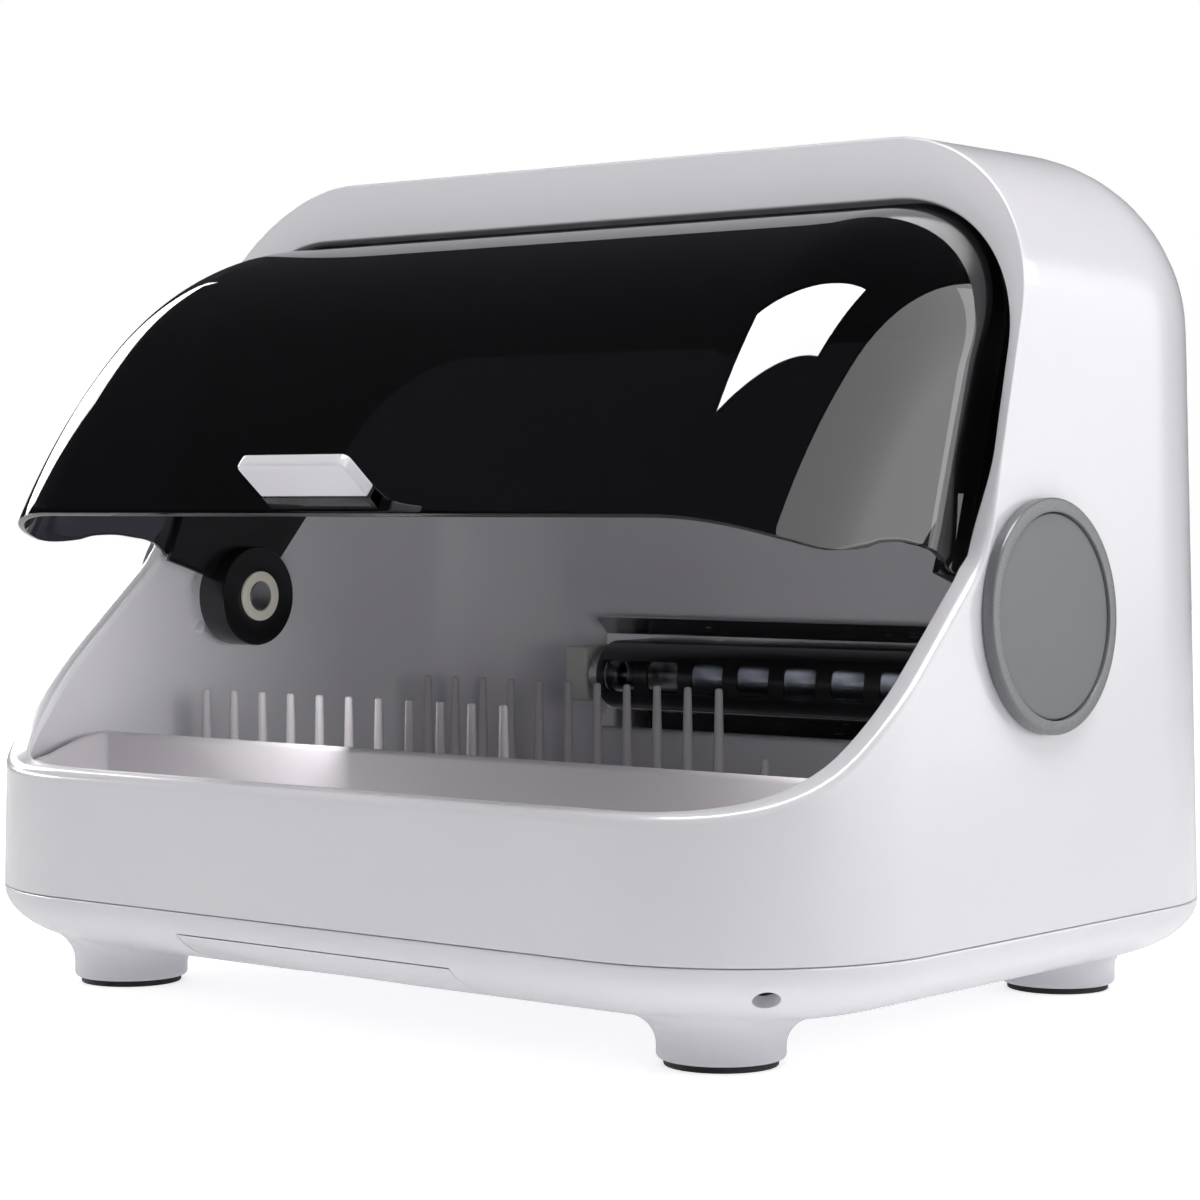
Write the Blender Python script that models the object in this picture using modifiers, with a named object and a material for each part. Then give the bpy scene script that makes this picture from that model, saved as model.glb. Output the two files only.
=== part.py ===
# Countertop dish cabinet with a germicidal lamp and a half-drum lid.
# Metres, +Z up. The front faces -Y and the right side +X.
# Sizes along Y are measured from the front face; the origin empty carries them to the plan centre.

import math

import bmesh
import bpy
import numpy as np
from mathutils import Matrix, Vector

# Moulded body
BODY_WIDTH = 0.420
BODY_DEPTH = 0.320
BODY_HEIGHT = 0.3197
SEAM_HEIGHT = 0.039
SIDE_DRAFT = math.radians(1.7)
PLAN_RADIUS = 0.080
TOP_SIDE_RADIUS = 0.067
TOP_REAR_RADIUS = 0.070
TOP_PLAN_RADIUS = 0.012
WALL = 0.003

# Clearances and overruns
PIECE_GAP = 0.0003
CUT_OVERRUN = 0.002
FUSE_DEPTH = 0.001

# Opening of the housing, seen from the side: lip, curved riser, leaning frame
LIP_HEIGHT = 0.087
RISER_START_Y = 0.0305
RISER_ANGLE = math.radians(42.3)
RISER_FOOT_RADIUS = 0.078
RISER_HEAD_RADIUS = 0.050
FRAME_TOP_Y = 0.1660
FRAME_LEAN = math.atan(0.30)
BAND_HEIGHT = 0.0234
BAND_CORNER_RADIUS = 0.058
BAND_SIDE_WIDTH = 0.0034
RIM_WIDTH = 0.0088
RIM_NARROW_LOW = 0.165
RIM_NARROW_HIGH = 0.215
RIM_EDGE_RADIUS = 0.0038
BAND_EDGE_RADIUS = 0.0013
RIM_INNER_EDGE_RADIUS = 0.0010

# Hinge line and the pieces on it
PIVOT_Y = 0.1567
PIVOT_BELOW_TOP = 0.1716
PIVOT_Z = BODY_HEIGHT - PIVOT_BELOW_TOP
PIN_RADIUS = 0.006
PIN_HEAD_RADIUS = 0.012
PIN_HEAD_THICKNESS = 0.0012
BORE_CLEARANCE = 0.0003
BUSH_WALL = 0.0018
BUSH_FLANGE_RADIUS = 0.0105
BUSH_FLANGE_THICKNESS = 0.0012
BOSS_RADIUS = 0.016
BOSS_LENGTH = 0.0066
WASHER_RADIUS = 0.014
WASHER_THICKNESS = 0.0015
HUB_RADIUS = 0.021
HUB_LENGTH = 0.0145
RING_RADIUS = 0.0411
RING_WIDTH = 0.0050
RING_HEIGHT = 0.0048
RING_EDGE_RADIUS = 0.0012
CAP_THICKNESS = 0.0038
CAP_EDGE_RADIUS = 0.0008

# Half-drum lid, in polar sizes round the drum's own axis, which lies a little behind the hinge line
DRUM_Y = 0.1637
DRUM_BELOW_TOP = 0.1717
DRUM_Z = BODY_HEIGHT - DRUM_BELOW_TOP
LID_TOP_GAP = 0.0267
LID_RADIUS = DRUM_BELOW_TOP - LID_TOP_GAP
LID_SIDE_GAP = 0.016
LID_HALF_WIDTH = BODY_WIDTH / 2 - LID_SIDE_GAP
LID_CORNER_RADIUS = 0.048
LID_WALL = 0.0025
LID_TIP_RADIUS = 0.0425
LID_LOW_ANGLE = math.radians(13.2)
LID_FLARE_ANGLE = math.radians(45.0)
LID_FLARE_SHARE = 0.255
LID_REAR_PLANE_OFFSET = 0.0060
LID_LIP_RISE = 0.0020
LID_LIP_DEPTH = 0.0065
WING_RADIUS_SHARES = (0.293, 0.317, 0.386, 0.493, 0.600, 0.648, 0.779, 0.831, 1.0)
WING_ANGLES = tuple(math.radians(a) for a in (19.1, 19.1, 22.3, 20.1, 16.5, 14.1, 11.8, 12.0, 13.2))
CARRIER_GAP = 0.0004
CARRIER_OVERLAP = 0.010
CARRIER_REAR_ANGLE = math.radians(132.0)
CARRIER_INNER_RADIUS = 0.0155

# Grip tab and grip
TAB_ANGLE = math.radians(39.6)
TAB_RISE = 0.0011
TAB_HALF_WIDTH = 0.0262
TONGUE_HALF_WIDTH = 0.0225
TONGUE_LENGTH = 0.0145
GRIP_LOW = 0.0076
GRIP_LENGTH = 0.0175
GRIP_THICKNESS = 0.0053
GRIP_CORNER_RADIUS = 0.0030
GRIP_ROOT_RADIUS = 0.0012
GRIP_BEVEL = 0.0009

# Base pan and feet
PAN_BOTTOM = 0.0155
PAN_CHAMFER = 0.048
PAN_FLOOR = 0.0185
TONGUE_TOP = 0.0575
TONGUE_THICKNESS = 0.0025
TONGUE_CLEARANCE = 0.0009
FOOT_SIDE_SHARE = 0.80625
FOOT_END_SHARE = 0.65375
FOOT_SIDE_INSET = PLAN_RADIUS * FOOT_SIDE_SHARE
FOOT_END_INSET = PLAN_RADIUS * FOOT_END_SHARE
FOOT_X = BODY_WIDTH / 2 - FOOT_SIDE_INSET
FOOT_REAR_Y = BODY_DEPTH - FOOT_END_INSET
LEG_RADIUS = 0.0219
LEG_FLARE = 0.0092
LEG_EDGE_RADIUS = 0.0018
LEG_FILLET_STEPS = 4
PAD_THICKNESS = 0.0020
PAD_RADIUS = 0.0194
PAD_STEM_RADIUS = 0.0050
PAD_STEM_LENGTH = 0.0060
DRAIN_RADIUS = 0.0046
DRAIN_INSET = 0.0058
DRAIN_ANGLE = math.radians(-45.0)

# Drip tray: a drawer whose front is a piece of the pan's chamfer
TRAY_HALF_WIDTH = 0.067
TRAY_BOTTOM = 0.0205
TRAY_TOP = 0.0298
TRAY_STEP_Y = 0.052
TRAY_REAR_GAP = 0.120
TRAY_REAR_Y = BODY_DEPTH - TRAY_REAR_GAP
TRAY_WALL = 0.002
TRAY_FRONT_WALL = 0.006
TRAY_CLEARANCE = 0.0005
RUNNER_WIDTH = 0.004
RUNNER_INSET = 0.009
RUNNER_X = TRAY_HALF_WIDTH - RUNNER_INSET
SCOOP_HALF_WIDTH = 0.038
SCOOP_HEIGHT = 0.0036
SCOOP_DEPTH = 0.011
SCOOP_Y = 0.027

# Deck and lift-out inserts
DECK_THICKNESS = 0.0030
SLOT_WIDTH = 0.004
SLOT_COUNT = 13
SLOT_ROWS = 2
SLOT_ROW_GAP = 0.022
SLOT_FIELD_SIDE_GAP = 0.040
SLOT_FIELD_FRONT_Y = 0.098
SLOT_FIELD_REAR_GAP = 0.060
SLOT_FIELD_HALF_WIDTH = BODY_WIDTH / 2 - SLOT_FIELD_SIDE_GAP
SLOT_ROW_PITCH = (BODY_DEPTH - SLOT_FIELD_REAR_GAP - SLOT_FIELD_FRONT_Y + SLOT_ROW_GAP) / SLOT_ROWS
SLOT_LENGTH = SLOT_ROW_PITCH - SLOT_ROW_GAP
TROUGH_GROOVE = 0.0005
TROUGH_REAR_Y = 0.0880
TROUGH_REAR_RISE = 0.0070
TROUGH_RISE_START_Y = 0.045
TROUGH_RIM_WIDTH = 0.0060
TROUGH_RIM_DROP = 0.0035
TROUGH_WALL = 0.0020
TROUGH_TAPER = 0.0050
TROUGH_REAR_CORNER = 0.006
RACK_FRONT_Y = 0.118
RACK_REAR_GAP = 0.058
RACK_REAR_Y = BODY_DEPTH - RACK_REAR_GAP
RACK_RAIL = 0.008
RACK_THICKNESS = 0.004
RACK_SIDE_GAP = 0.030
RACK_END_X = BODY_WIDTH / 2 - RACK_SIDE_GAP
RACK_MIDDLE_GAP = 0.008
POST_RADIUS = 0.0026
POST_TIP_SHARE = 0.6
PLATE_POST_COUNT = 11
PLATE_POST_HEIGHT = 0.046
BOWL_POST_COUNT = 4
BOWL_POST_HEIGHT = 0.018

# Lamp
LAMP_REAR_GAP = 0.024
LAMP_Y = BODY_DEPTH - LAMP_REAR_GAP
LAMP_Z = 0.112
LAMP_SIDE_GAP = 0.104
LAMP_HALF_LENGTH = BODY_WIDTH / 2 - LAMP_SIDE_GAP
TUBE_RADIUS = 0.008
LAMP_CAP_LENGTH = 0.009
LAMP_CAP_WALL = 0.0006
LAMP_PIN_RADIUS = 0.0012
LAMP_PIN_LENGTH = 0.006
LAMP_PIN_SPACING = 0.0050
HOLDER_DEPTH = 0.0120
HOLDER_WIDTH = 0.020
HOLDER_HEIGHT = 0.024
HOLDER_BEVEL = 0.0012
REFLECTOR_HEIGHT = 0.050
REFLECTOR_SHEET = 0.0008
REFLECTOR_WING = 0.008
GUARD_RADIUS = 0.0135
GUARD_SHEET = 0.0014
GUARD_SLOTS = 8
GUARD_SLOT_SHARE = 0.7

# Electrics
DRIVER_HALF_WIDTH = 0.032
DRIVER_REAR_GAP = 0.110
DRIVER_FRONT_Y = BODY_DEPTH - DRIVER_REAR_GAP
DRIVER_DEPTH = 0.052
DRIVER_HEIGHT = 0.028
DRIVER_BEVEL = 0.002
DRIVER_EAR_LENGTH = 0.008
DRIVER_EAR_THICKNESS = 0.002
SWITCH_REAR_GAP = 0.115
SWITCH_Y = BODY_DEPTH - SWITCH_REAR_GAP
SWITCH_Z = 0.112
SWITCH_DEPTH = 0.0085
SWITCH_LENGTH = 0.020
SWITCH_HEIGHT = 0.011
SWITCH_NIB_RADIUS = 0.0015
SWITCH_NIB_LENGTH = 0.0025
REAR_FITTING_Z = 0.0485
INLET_X = -0.060
INLET_RADIUS = 0.0055
INLET_FLANGE_RADIUS = 0.0078
INLET_FLANGE_THICKNESS = 0.0015
INLET_LENGTH = 0.014
INLET_BORE_RADIUS = 0.0030
INLET_BORE_DEPTH = 0.0095
INLET_CONTACT_RADIUS = 0.0010
BUTTON_X = 0.060
BUTTON_RADIUS = 0.0055
BUTTON_PROUD = 0.0028
BUTTON_TRAVEL = 0.0020
BUTTON_CLEARANCE = 0.0003
BEZEL_WALL = 0.0010
BEZEL_FLANGE_RADIUS = 0.0085
BEZEL_FLANGE_THICKNESS = 0.0012
SWITCH_BODY_WIDTH = 0.013
SWITCH_BODY_DEPTH = 0.008
SWITCH_BODY_HEIGHT = 0.013

# Mesh density
CORNER_STEPS = 7
ROUND_STEPS = 20
SMALL_ROUND_STEPS = 12
GRIP_CORNER_STEPS = 3
SHARP_ANGLE = math.radians(35.0)
RIM_TURN = math.radians(60.0)
MERGE = 0.00001


# Scene, collections and materials
for old in list(bpy.data.objects):
    bpy.data.objects.remove(old, do_unlink=True)

parts = bpy.data.collections.new("uv_sterilizer_cabinet")
cutters = bpy.data.collections.new("cutters")
bpy.context.scene.collection.children.link(parts)
bpy.context.scene.collection.children.link(cutters)
cutters.hide_render = True


def material(name, colour, roughness, metallic=0.0, transmission=0.0):
    made = bpy.data.materials.new(name)
    made.use_nodes = True
    shader = made.node_tree.nodes["Principled BSDF"]
    shader.inputs["Base Color"].default_value = (*colour, 1.0)
    shader.inputs["Roughness"].default_value = roughness
    shader.inputs["Metallic"].default_value = metallic
    shader.inputs["Transmission Weight"].default_value = transmission
    return made


white_abs = material("white_abs", (0.80, 0.79, 0.83), 0.22)
pearl_abs = material("pearl_abs", (0.70, 0.70, 0.72), 0.25)
grey_insert = material("grey_insert", (0.42, 0.41, 0.42), 0.35)
smoke_window = material("smoke_window", (0.03, 0.03, 0.035), 0.05, transmission=0.6)
dark_carrier = material("dark_carrier", (0.010, 0.010, 0.011), 0.30)
grey_disc = material("grey_disc", (0.20, 0.205, 0.21), 0.38)
ring_grey = material("ring_grey", (0.26, 0.265, 0.27), 0.30)
steel = material("steel", (0.55, 0.55, 0.56), 0.28, metallic=1.0)
acetal = material("acetal", (0.72, 0.71, 0.66), 0.40)
rubber = material("rubber", (0.012, 0.012, 0.012), 0.75)
quartz = material("quartz", (0.85, 0.88, 0.95), 0.05, transmission=0.8)
aluminium = material("aluminium", (0.72, 0.72, 0.73), 0.30, metallic=1.0)
bright_sheet = material("bright_sheet", (0.80, 0.80, 0.81), 0.15, metallic=1.0)
black_nylon = material("black_nylon", (0.02, 0.02, 0.02), 0.45)
white_nylon = material("white_nylon", (0.75, 0.75, 0.73), 0.45)


# Lengths that several pieces share
WALL_INNER_AT_PIVOT = BODY_WIDTH / 2 - math.tan(SIDE_DRAFT) * (PIVOT_Z - SEAM_HEIGHT) - WALL
BOSS_FACE_X = WALL_INNER_AT_PIVOT - BOSS_LENGTH
WASHER_OUTER_X = BOSS_FACE_X - PIECE_GAP
HUB_OUTER_X = WASHER_OUTER_X - WASHER_THICKNESS - PIECE_GAP
HUB_INNER_X = HUB_OUTER_X - HUB_LENGTH
PIN_HOLE_RADIUS = PIN_RADIUS + BORE_CLEARANCE
BUSH_RADIUS = PIN_HOLE_RADIUS + BUSH_WALL
HUB_BORE_RADIUS = BUSH_RADIUS + BORE_CLEARANCE
DECK_BOTTOM = TONGUE_TOP + PIECE_GAP
DECK_TOP = DECK_BOTTOM + DECK_THICKNESS
INSERT_BOTTOM = DECK_TOP + PIECE_GAP
TONGUE_INSET = WALL + TONGUE_CLEARANCE + math.tan(SIDE_DRAFT) * (TONGUE_TOP - SEAM_HEIGHT)
DECK_INSET = TONGUE_INSET + PIECE_GAP
LIP_TO_TROUGH = RIM_WIDTH + TROUGH_GROOVE
LEG_BOTTOM = PAD_THICKNESS + PIECE_GAP
REFLECTOR_BACK_Y = BODY_DEPTH - WALL - 2 * PIECE_GAP


def lid_radius_at(angle, radius):
    """Radius of the drum's outer face at an angle above straight forward, with a flare low down."""
    return radius * (1 + LID_FLARE_SHARE * max(0.0, LID_FLARE_ANGLE - angle) ** 2)


def wall_middle(rise):
    """Middle of the lid's wall, a little way up from its lower edge, about the drum's axis."""
    angle = LID_LOW_ANGLE + rise / LID_RADIUS
    middle = lid_radius_at(angle, LID_RADIUS) - LID_WALL / 2
    return Vector((0, -middle * math.cos(angle), middle * math.sin(angle)))


TAB_ALONG = Vector((0, -math.cos(TAB_ANGLE), math.sin(TAB_ANGLE)))
TAB_UP = Vector((0, math.sin(TAB_ANGLE), math.cos(TAB_ANGLE)))
GRIP_NOSE_ROUND = GRIP_BEVEL * (1 - math.sqrt(0.5)) * (math.cos(TAB_ANGLE) + math.sin(TAB_ANGLE))
GRIP_FRONT = DRUM_Y + (wall_middle(TAB_RISE) + TAB_ALONG * (GRIP_LOW + GRIP_LENGTH)).y + GRIP_NOSE_ROUND
BUTTON_REAR = BODY_DEPTH + BUTTON_PROUD

origin = bpy.data.objects.new("plan_centre", None)
origin.location = (0, -(GRIP_FRONT + BUTTON_REAR) / 2, 0)
bpy.context.scene.collection.objects.link(origin)


# General helpers
def new_object(name, mesh, look, location=(0, 0, 0), rotation=(0, 0, 0), cutter=False):
    made = bpy.data.objects.new(name, mesh)
    (cutters if cutter else parts).objects.link(made)
    made.parent = origin
    made.location = location
    made.rotation_euler = rotation
    if cutter:
        made.hide_render = True
        made.display_type = "WIRE"
    else:
        mesh.materials.clear()
        mesh.materials.append(look)
    return made


def smooth(mesh):
    mesh.shade_smooth()
    mesh.set_sharp_from_angle(angle=SHARP_ANGLE)
    return mesh


def outward(cleaned, name):
    """A mesh from a bmesh whose faces all point outwards."""
    bmesh.ops.remove_doubles(cleaned, verts=cleaned.verts, dist=MERGE)
    bmesh.ops.recalc_face_normals(cleaned, faces=cleaned.faces)
    mesh = bpy.data.meshes.new(name)
    cleaned.to_mesh(mesh)
    cleaned.free()
    return mesh


def loft(name, rings, closed=False):
    """A solid through equal rings of points. An open loft is capped at both ends."""
    count = len(rings[0])
    shape = bmesh.new()
    rows = [[shape.verts.new(point) for point in ring] for ring in rings]
    pairs = list(zip(rows, rows[1:]))
    if closed:
        pairs.append((rows[-1], rows[0]))
    for low, high in pairs:
        for i in range(count):
            j = (i + 1) % count
            shape.faces.new((low[i], low[j], high[j], high[i]))
    if not closed:
        shape.faces.new(list(reversed(rows[0])))
        shape.faces.new(rows[-1])
    return smooth(outward(shape, name))


def box_mesh(name, low, high, bevel=0.0):
    """A box between two corners, with small rounded edges if a bevel is given."""
    low, high = Vector(low), Vector(high)
    shape = bmesh.new()
    bmesh.ops.create_cube(shape, size=1.0)
    size = high - low
    bmesh.ops.transform(shape, matrix=Matrix.Diagonal((*size, 1.0)), verts=shape.verts)
    bmesh.ops.translate(shape, vec=(low + high) / 2, verts=shape.verts)
    if bevel:
        bmesh.ops.bevel(shape, geom=shape.edges[:], offset=bevel, segments=2, affect="EDGES", profile=0.5)
    return smooth(outward(shape, name))


def turned(name, profile, steps=ROUND_STEPS):
    """A turned solid about Z. The profile runs from top to bottom on its outer side."""
    mesh = bpy.data.meshes.new(name)
    edges = [(i, i + 1) for i in range(len(profile) - 1)]
    ring = profile[0][0] > 0 and profile[-1][0] > 0
    if ring:
        edges.append((len(profile) - 1, 0))
    mesh.from_pydata([(r, 0, z) for r, z in profile], edges, [])
    guide = bpy.data.objects.new(name + "_profile", mesh)
    bpy.context.scene.collection.objects.link(guide)
    screw = guide.modifiers.new("turn", "SCREW")
    screw.angle = 2 * math.pi
    screw.steps = steps
    screw.render_steps = steps
    screw.use_merge_vertices = True
    screw.merge_threshold = MERGE
    bpy.context.view_layer.update()
    graph = bpy.context.evaluated_depsgraph_get()
    made = bpy.data.meshes.new_from_object(guide.evaluated_get(graph))
    made.name = name
    bpy.data.objects.remove(guide, do_unlink=True)
    shape = bmesh.new()
    shape.from_mesh(made)
    bpy.data.meshes.remove(made)
    return smooth(outward(shape, name))


def flat_mesh(name, outlines, thickness):
    """A flat plate in XY, centred on z = 0, from a 2D curve. Later outlines are holes."""
    curve = bpy.data.curves.new(name + "_outline", "CURVE")
    curve.dimensions = "2D"
    curve.fill_mode = "BOTH"
    curve.extrude = thickness / 2
    for outline in outlines:
        spline = curve.splines.new("POLY")
        spline.points.add(len(outline) - 1)
        for point, (x, y) in zip(spline.points, outline):
            point.co = (x, y, 0, 1)
        spline.use_cyclic_u = True
    guide = bpy.data.objects.new(name + "_outline", curve)
    bpy.context.scene.collection.objects.link(guide)
    bpy.context.view_layer.update()
    graph = bpy.context.evaluated_depsgraph_get()
    made = bpy.data.meshes.new_from_object(guide.evaluated_get(graph))
    bpy.data.objects.remove(guide, do_unlink=True)
    shape = bmesh.new()
    shape.from_mesh(made)
    bpy.data.meshes.remove(made)
    return smooth(outward(shape, name))


def prism(name, outline, half_length):
    """A shape with a constant section in YZ, along X."""
    mesh = flat_mesh(name, [outline], 2 * half_length)
    turn = Matrix((Vector((0, 1, 0)), Vector((0, 0, 1)), Vector((1, 0, 0)))).transposed().to_4x4()
    mesh.transform(turn)
    return mesh


def combine(target, tool, operation):
    change = target.modifiers.new(operation.lower() + "_" + tool.name, "BOOLEAN")
    change.operation = operation
    change.object = tool
    change.solver = "EXACT"


def cutter(name, mesh, location=(0, 0, 0), rotation=(0, 0, 0)):
    return new_object(name, mesh, None, location, rotation, cutter=True)


def joined_mesh(name, meshes):
    """One mesh of several solids that don't meet, used as a tool."""
    shape = bmesh.new()
    for mesh in meshes:
        shape.from_mesh(mesh)
        bpy.data.meshes.remove(mesh)
    return outward(shape, name)


def rounded_rectangle(half_width, front, rear, front_radius, rear_radius, steps=CORNER_STEPS):
    """Plan outline, counter-clockwise from the front right corner."""
    corners = (
        (half_width - front_radius, front + front_radius, front_radius, -90),
        (half_width - rear_radius, rear - rear_radius, rear_radius, 0),
        (rear_radius - half_width, rear - rear_radius, rear_radius, 90),
        (front_radius - half_width, front + front_radius, front_radius, 180),
    )
    points = []
    for x, y, radius, start in corners:
        for i in range(steps + 1):
            angle = math.radians(start + 90 * i / steps)
            points.append((x + radius * math.cos(angle), y + radius * math.sin(angle)))
    return points


def body_outline(inset):
    """The body's plan at the seam, drawn in by an inset."""
    radius = PLAN_RADIUS - inset
    return rounded_rectangle(BODY_WIDTH / 2 - inset, inset, BODY_DEPTH - inset, radius, radius)


def slot_outline(x, y, width, length):
    """A slot with chamfered ends along Y."""
    half, end = width / 2, length / 2
    nip = half / 2
    return [
        (x + nip, y - end),
        (x + half, y - end + nip),
        (x + half, y + end - nip),
        (x + nip, y + end),
        (x - nip, y + end),
        (x - half, y + end - nip),
        (x - half, y - end + nip),
        (x - nip, y - end),
    ]


def ease(value, low, high):
    """0 below low, 1 above high and a smooth step between."""
    share = np.clip((value - low) / (high - low), 0.0, 1.0)
    return share * share * (3 - 2 * share)


# The body's outer surface: a drafted box with rounded plan corners, rolled sides and a rolled rear
def half_section(z, inset):
    """Half width, front, rear and rear corner semi-axes of the surface at a height."""
    top = BODY_HEIGHT - inset
    side_radius = TOP_SIDE_RADIUS - inset
    rear_radius = TOP_REAR_RADIUS - inset
    side_rise = np.clip(z - (top - side_radius), 0, side_radius)
    rear_rise = np.clip(z - (top - rear_radius), 0, rear_radius)
    side_drop = side_radius - np.sqrt(side_radius**2 - side_rise**2)
    rear_drop = rear_radius - np.sqrt(rear_radius**2 - rear_rise**2)
    half = BODY_WIDTH / 2 - inset - math.tan(SIDE_DRAFT) * (z - SEAM_HEIGHT) - side_drop
    rear = BODY_DEPTH - inset - rear_drop
    corner = PLAN_RADIUS - inset
    corner_x = corner - (corner - TOP_PLAN_RADIUS) * side_drop / side_radius
    corner_y = corner - (corner - TOP_PLAN_RADIUS) * rear_drop / rear_radius
    return half, rear, corner_x, corner_y


def outside(points, inset):
    """Which points lie outside the surface drawn in by an inset."""
    x, y, z = np.abs(points[..., 0]), points[..., 1], points[..., 2]
    half, rear, corner_x, corner_y = half_section(z, inset)
    found = (z > BODY_HEIGHT - inset) | (x > half) | (y > rear) | (y < inset)
    from_x = np.clip((x - (half - corner_x)) / corner_x, 0, None)
    from_rear = np.clip((y - (rear - corner_y)) / corner_y, 0, None)
    from_front = np.clip((inset + corner_x - y) / corner_x, 0, None)
    found |= from_x**2 + from_rear**2 > 1
    found |= from_x**2 + from_front**2 > 1
    return found


REACH = BODY_WIDTH
HALVINGS = 44
BEND_LENGTH = 0.055
CORE_SPREAD_SHARE = 0.92


def core_of(x):
    """Point inside the body, level with x, that the surface is seen from."""
    spread = (BODY_WIDTH / 2 - PLAN_RADIUS) * CORE_SPREAD_SHARE
    return np.array((min(x, spread), BODY_DEPTH / 2, BODY_HEIGHT / 2))


def on_surface(core, directions, inset):
    """Points where rays from the core meet the surface, found by halving."""
    near = np.zeros(directions.shape[:-1])
    far = np.full(directions.shape[:-1], REACH)
    for _ in range(HALVINGS):
        middle = (near + far) / 2
        out = outside(core + directions * middle[..., None], inset)
        far = np.where(out, middle, far)
        near = np.where(out, near, middle)
    return core + directions * near[..., None]


def unit(vectors):
    return vectors / np.linalg.norm(vectors, axis=-1, keepdims=True)


def surface_path(core, start, end, inset, samples=160):
    """Points over the surface from start to end, along the turn of the ray from the core."""
    a, b = unit(start - core), unit(end - core)
    turn = math.acos(float(np.clip(a @ b, -1, 1)))
    shares = np.linspace(0, 1, samples)[:, None]
    rays = (np.sin((1 - shares) * turn) * a + np.sin(shares * turn) * b) / math.sin(turn)
    path = on_surface(core, rays, inset)
    path[0], path[-1] = start, end
    return path


def spaced(path, count, trim=0.0):
    """Points along a path, closer where it bends, ending short of the last point by trim."""
    steps = np.linalg.norm(np.diff(path, axis=0), axis=1)
    ways = unit(np.diff(path, axis=0))
    bends = np.arccos(np.clip((ways[1:] * ways[:-1]).sum(axis=1), -1, 1))
    length = np.concatenate([[0], np.cumsum(steps)])
    weight = np.zeros(len(path))
    weight[1:] += steps
    weight[1:-1] += bends * BEND_LENGTH
    measure = np.cumsum(weight)
    stop = np.interp(length[-1] - trim, length, measure)
    at = np.interp(np.linspace(0, stop, count), measure, length)
    return np.stack([np.interp(at, length, path[:, i]) for i in range(3)], axis=1)


def frame_y(z):
    return FRAME_TOP_Y - math.tan(FRAME_LEAN) * (BODY_HEIGHT - z)


def filleted(corners, radii, steps=24):
    """A 2D path through corners, with an arc of the given radius at each inner one."""
    points = [np.array(corners[0])]
    for i, radius in enumerate(radii, start=1):
        before, here, after = (np.array(corners[i + k]) for k in (-1, 0, 1))
        into, out = unit(before - here), unit(after - here)
        half = math.acos(float(np.clip(into @ out, -1, 1))) / 2
        centre = here + unit(into + out) * radius / math.sin(half)
        first = here + into * radius / math.tan(half) - centre
        last = here + out * radius / math.tan(half) - centre
        for share in np.linspace(0, 1, steps):
            points.append(centre + unit(first * (1 - share) + last * share) * radius)
    points.append(np.array(corners[-1]))
    return np.array(points)


def rim_profile():
    """Side view of the opening from the front of the lip to the top of the frame."""
    slope, lean = math.tan(RISER_ANGLE), math.tan(FRAME_LEAN)
    head_z = (LIP_HEIGHT + slope * (FRAME_TOP_Y - lean * BODY_HEIGHT - RISER_START_Y)) / (1 - slope * lean)
    corners = (
        (0, LIP_HEIGHT),
        (RISER_START_Y, LIP_HEIGHT),
        (frame_y(head_z), head_z),
        (FRAME_TOP_Y, BODY_HEIGHT),
    )
    return filleted(corners, (RISER_FOOT_RADIUS, RISER_HEAD_RADIUS))


LIP_COLUMNS, RISER_COLUMNS, FRAME_COLUMNS, TOP_COLUMNS = 3, 6, 3, 3
CORNER_COLUMNS = ARCH_COLUMNS = CORNER_STEPS
OUTER_ROWS, INNER_ROWS = 13, 8


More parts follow.
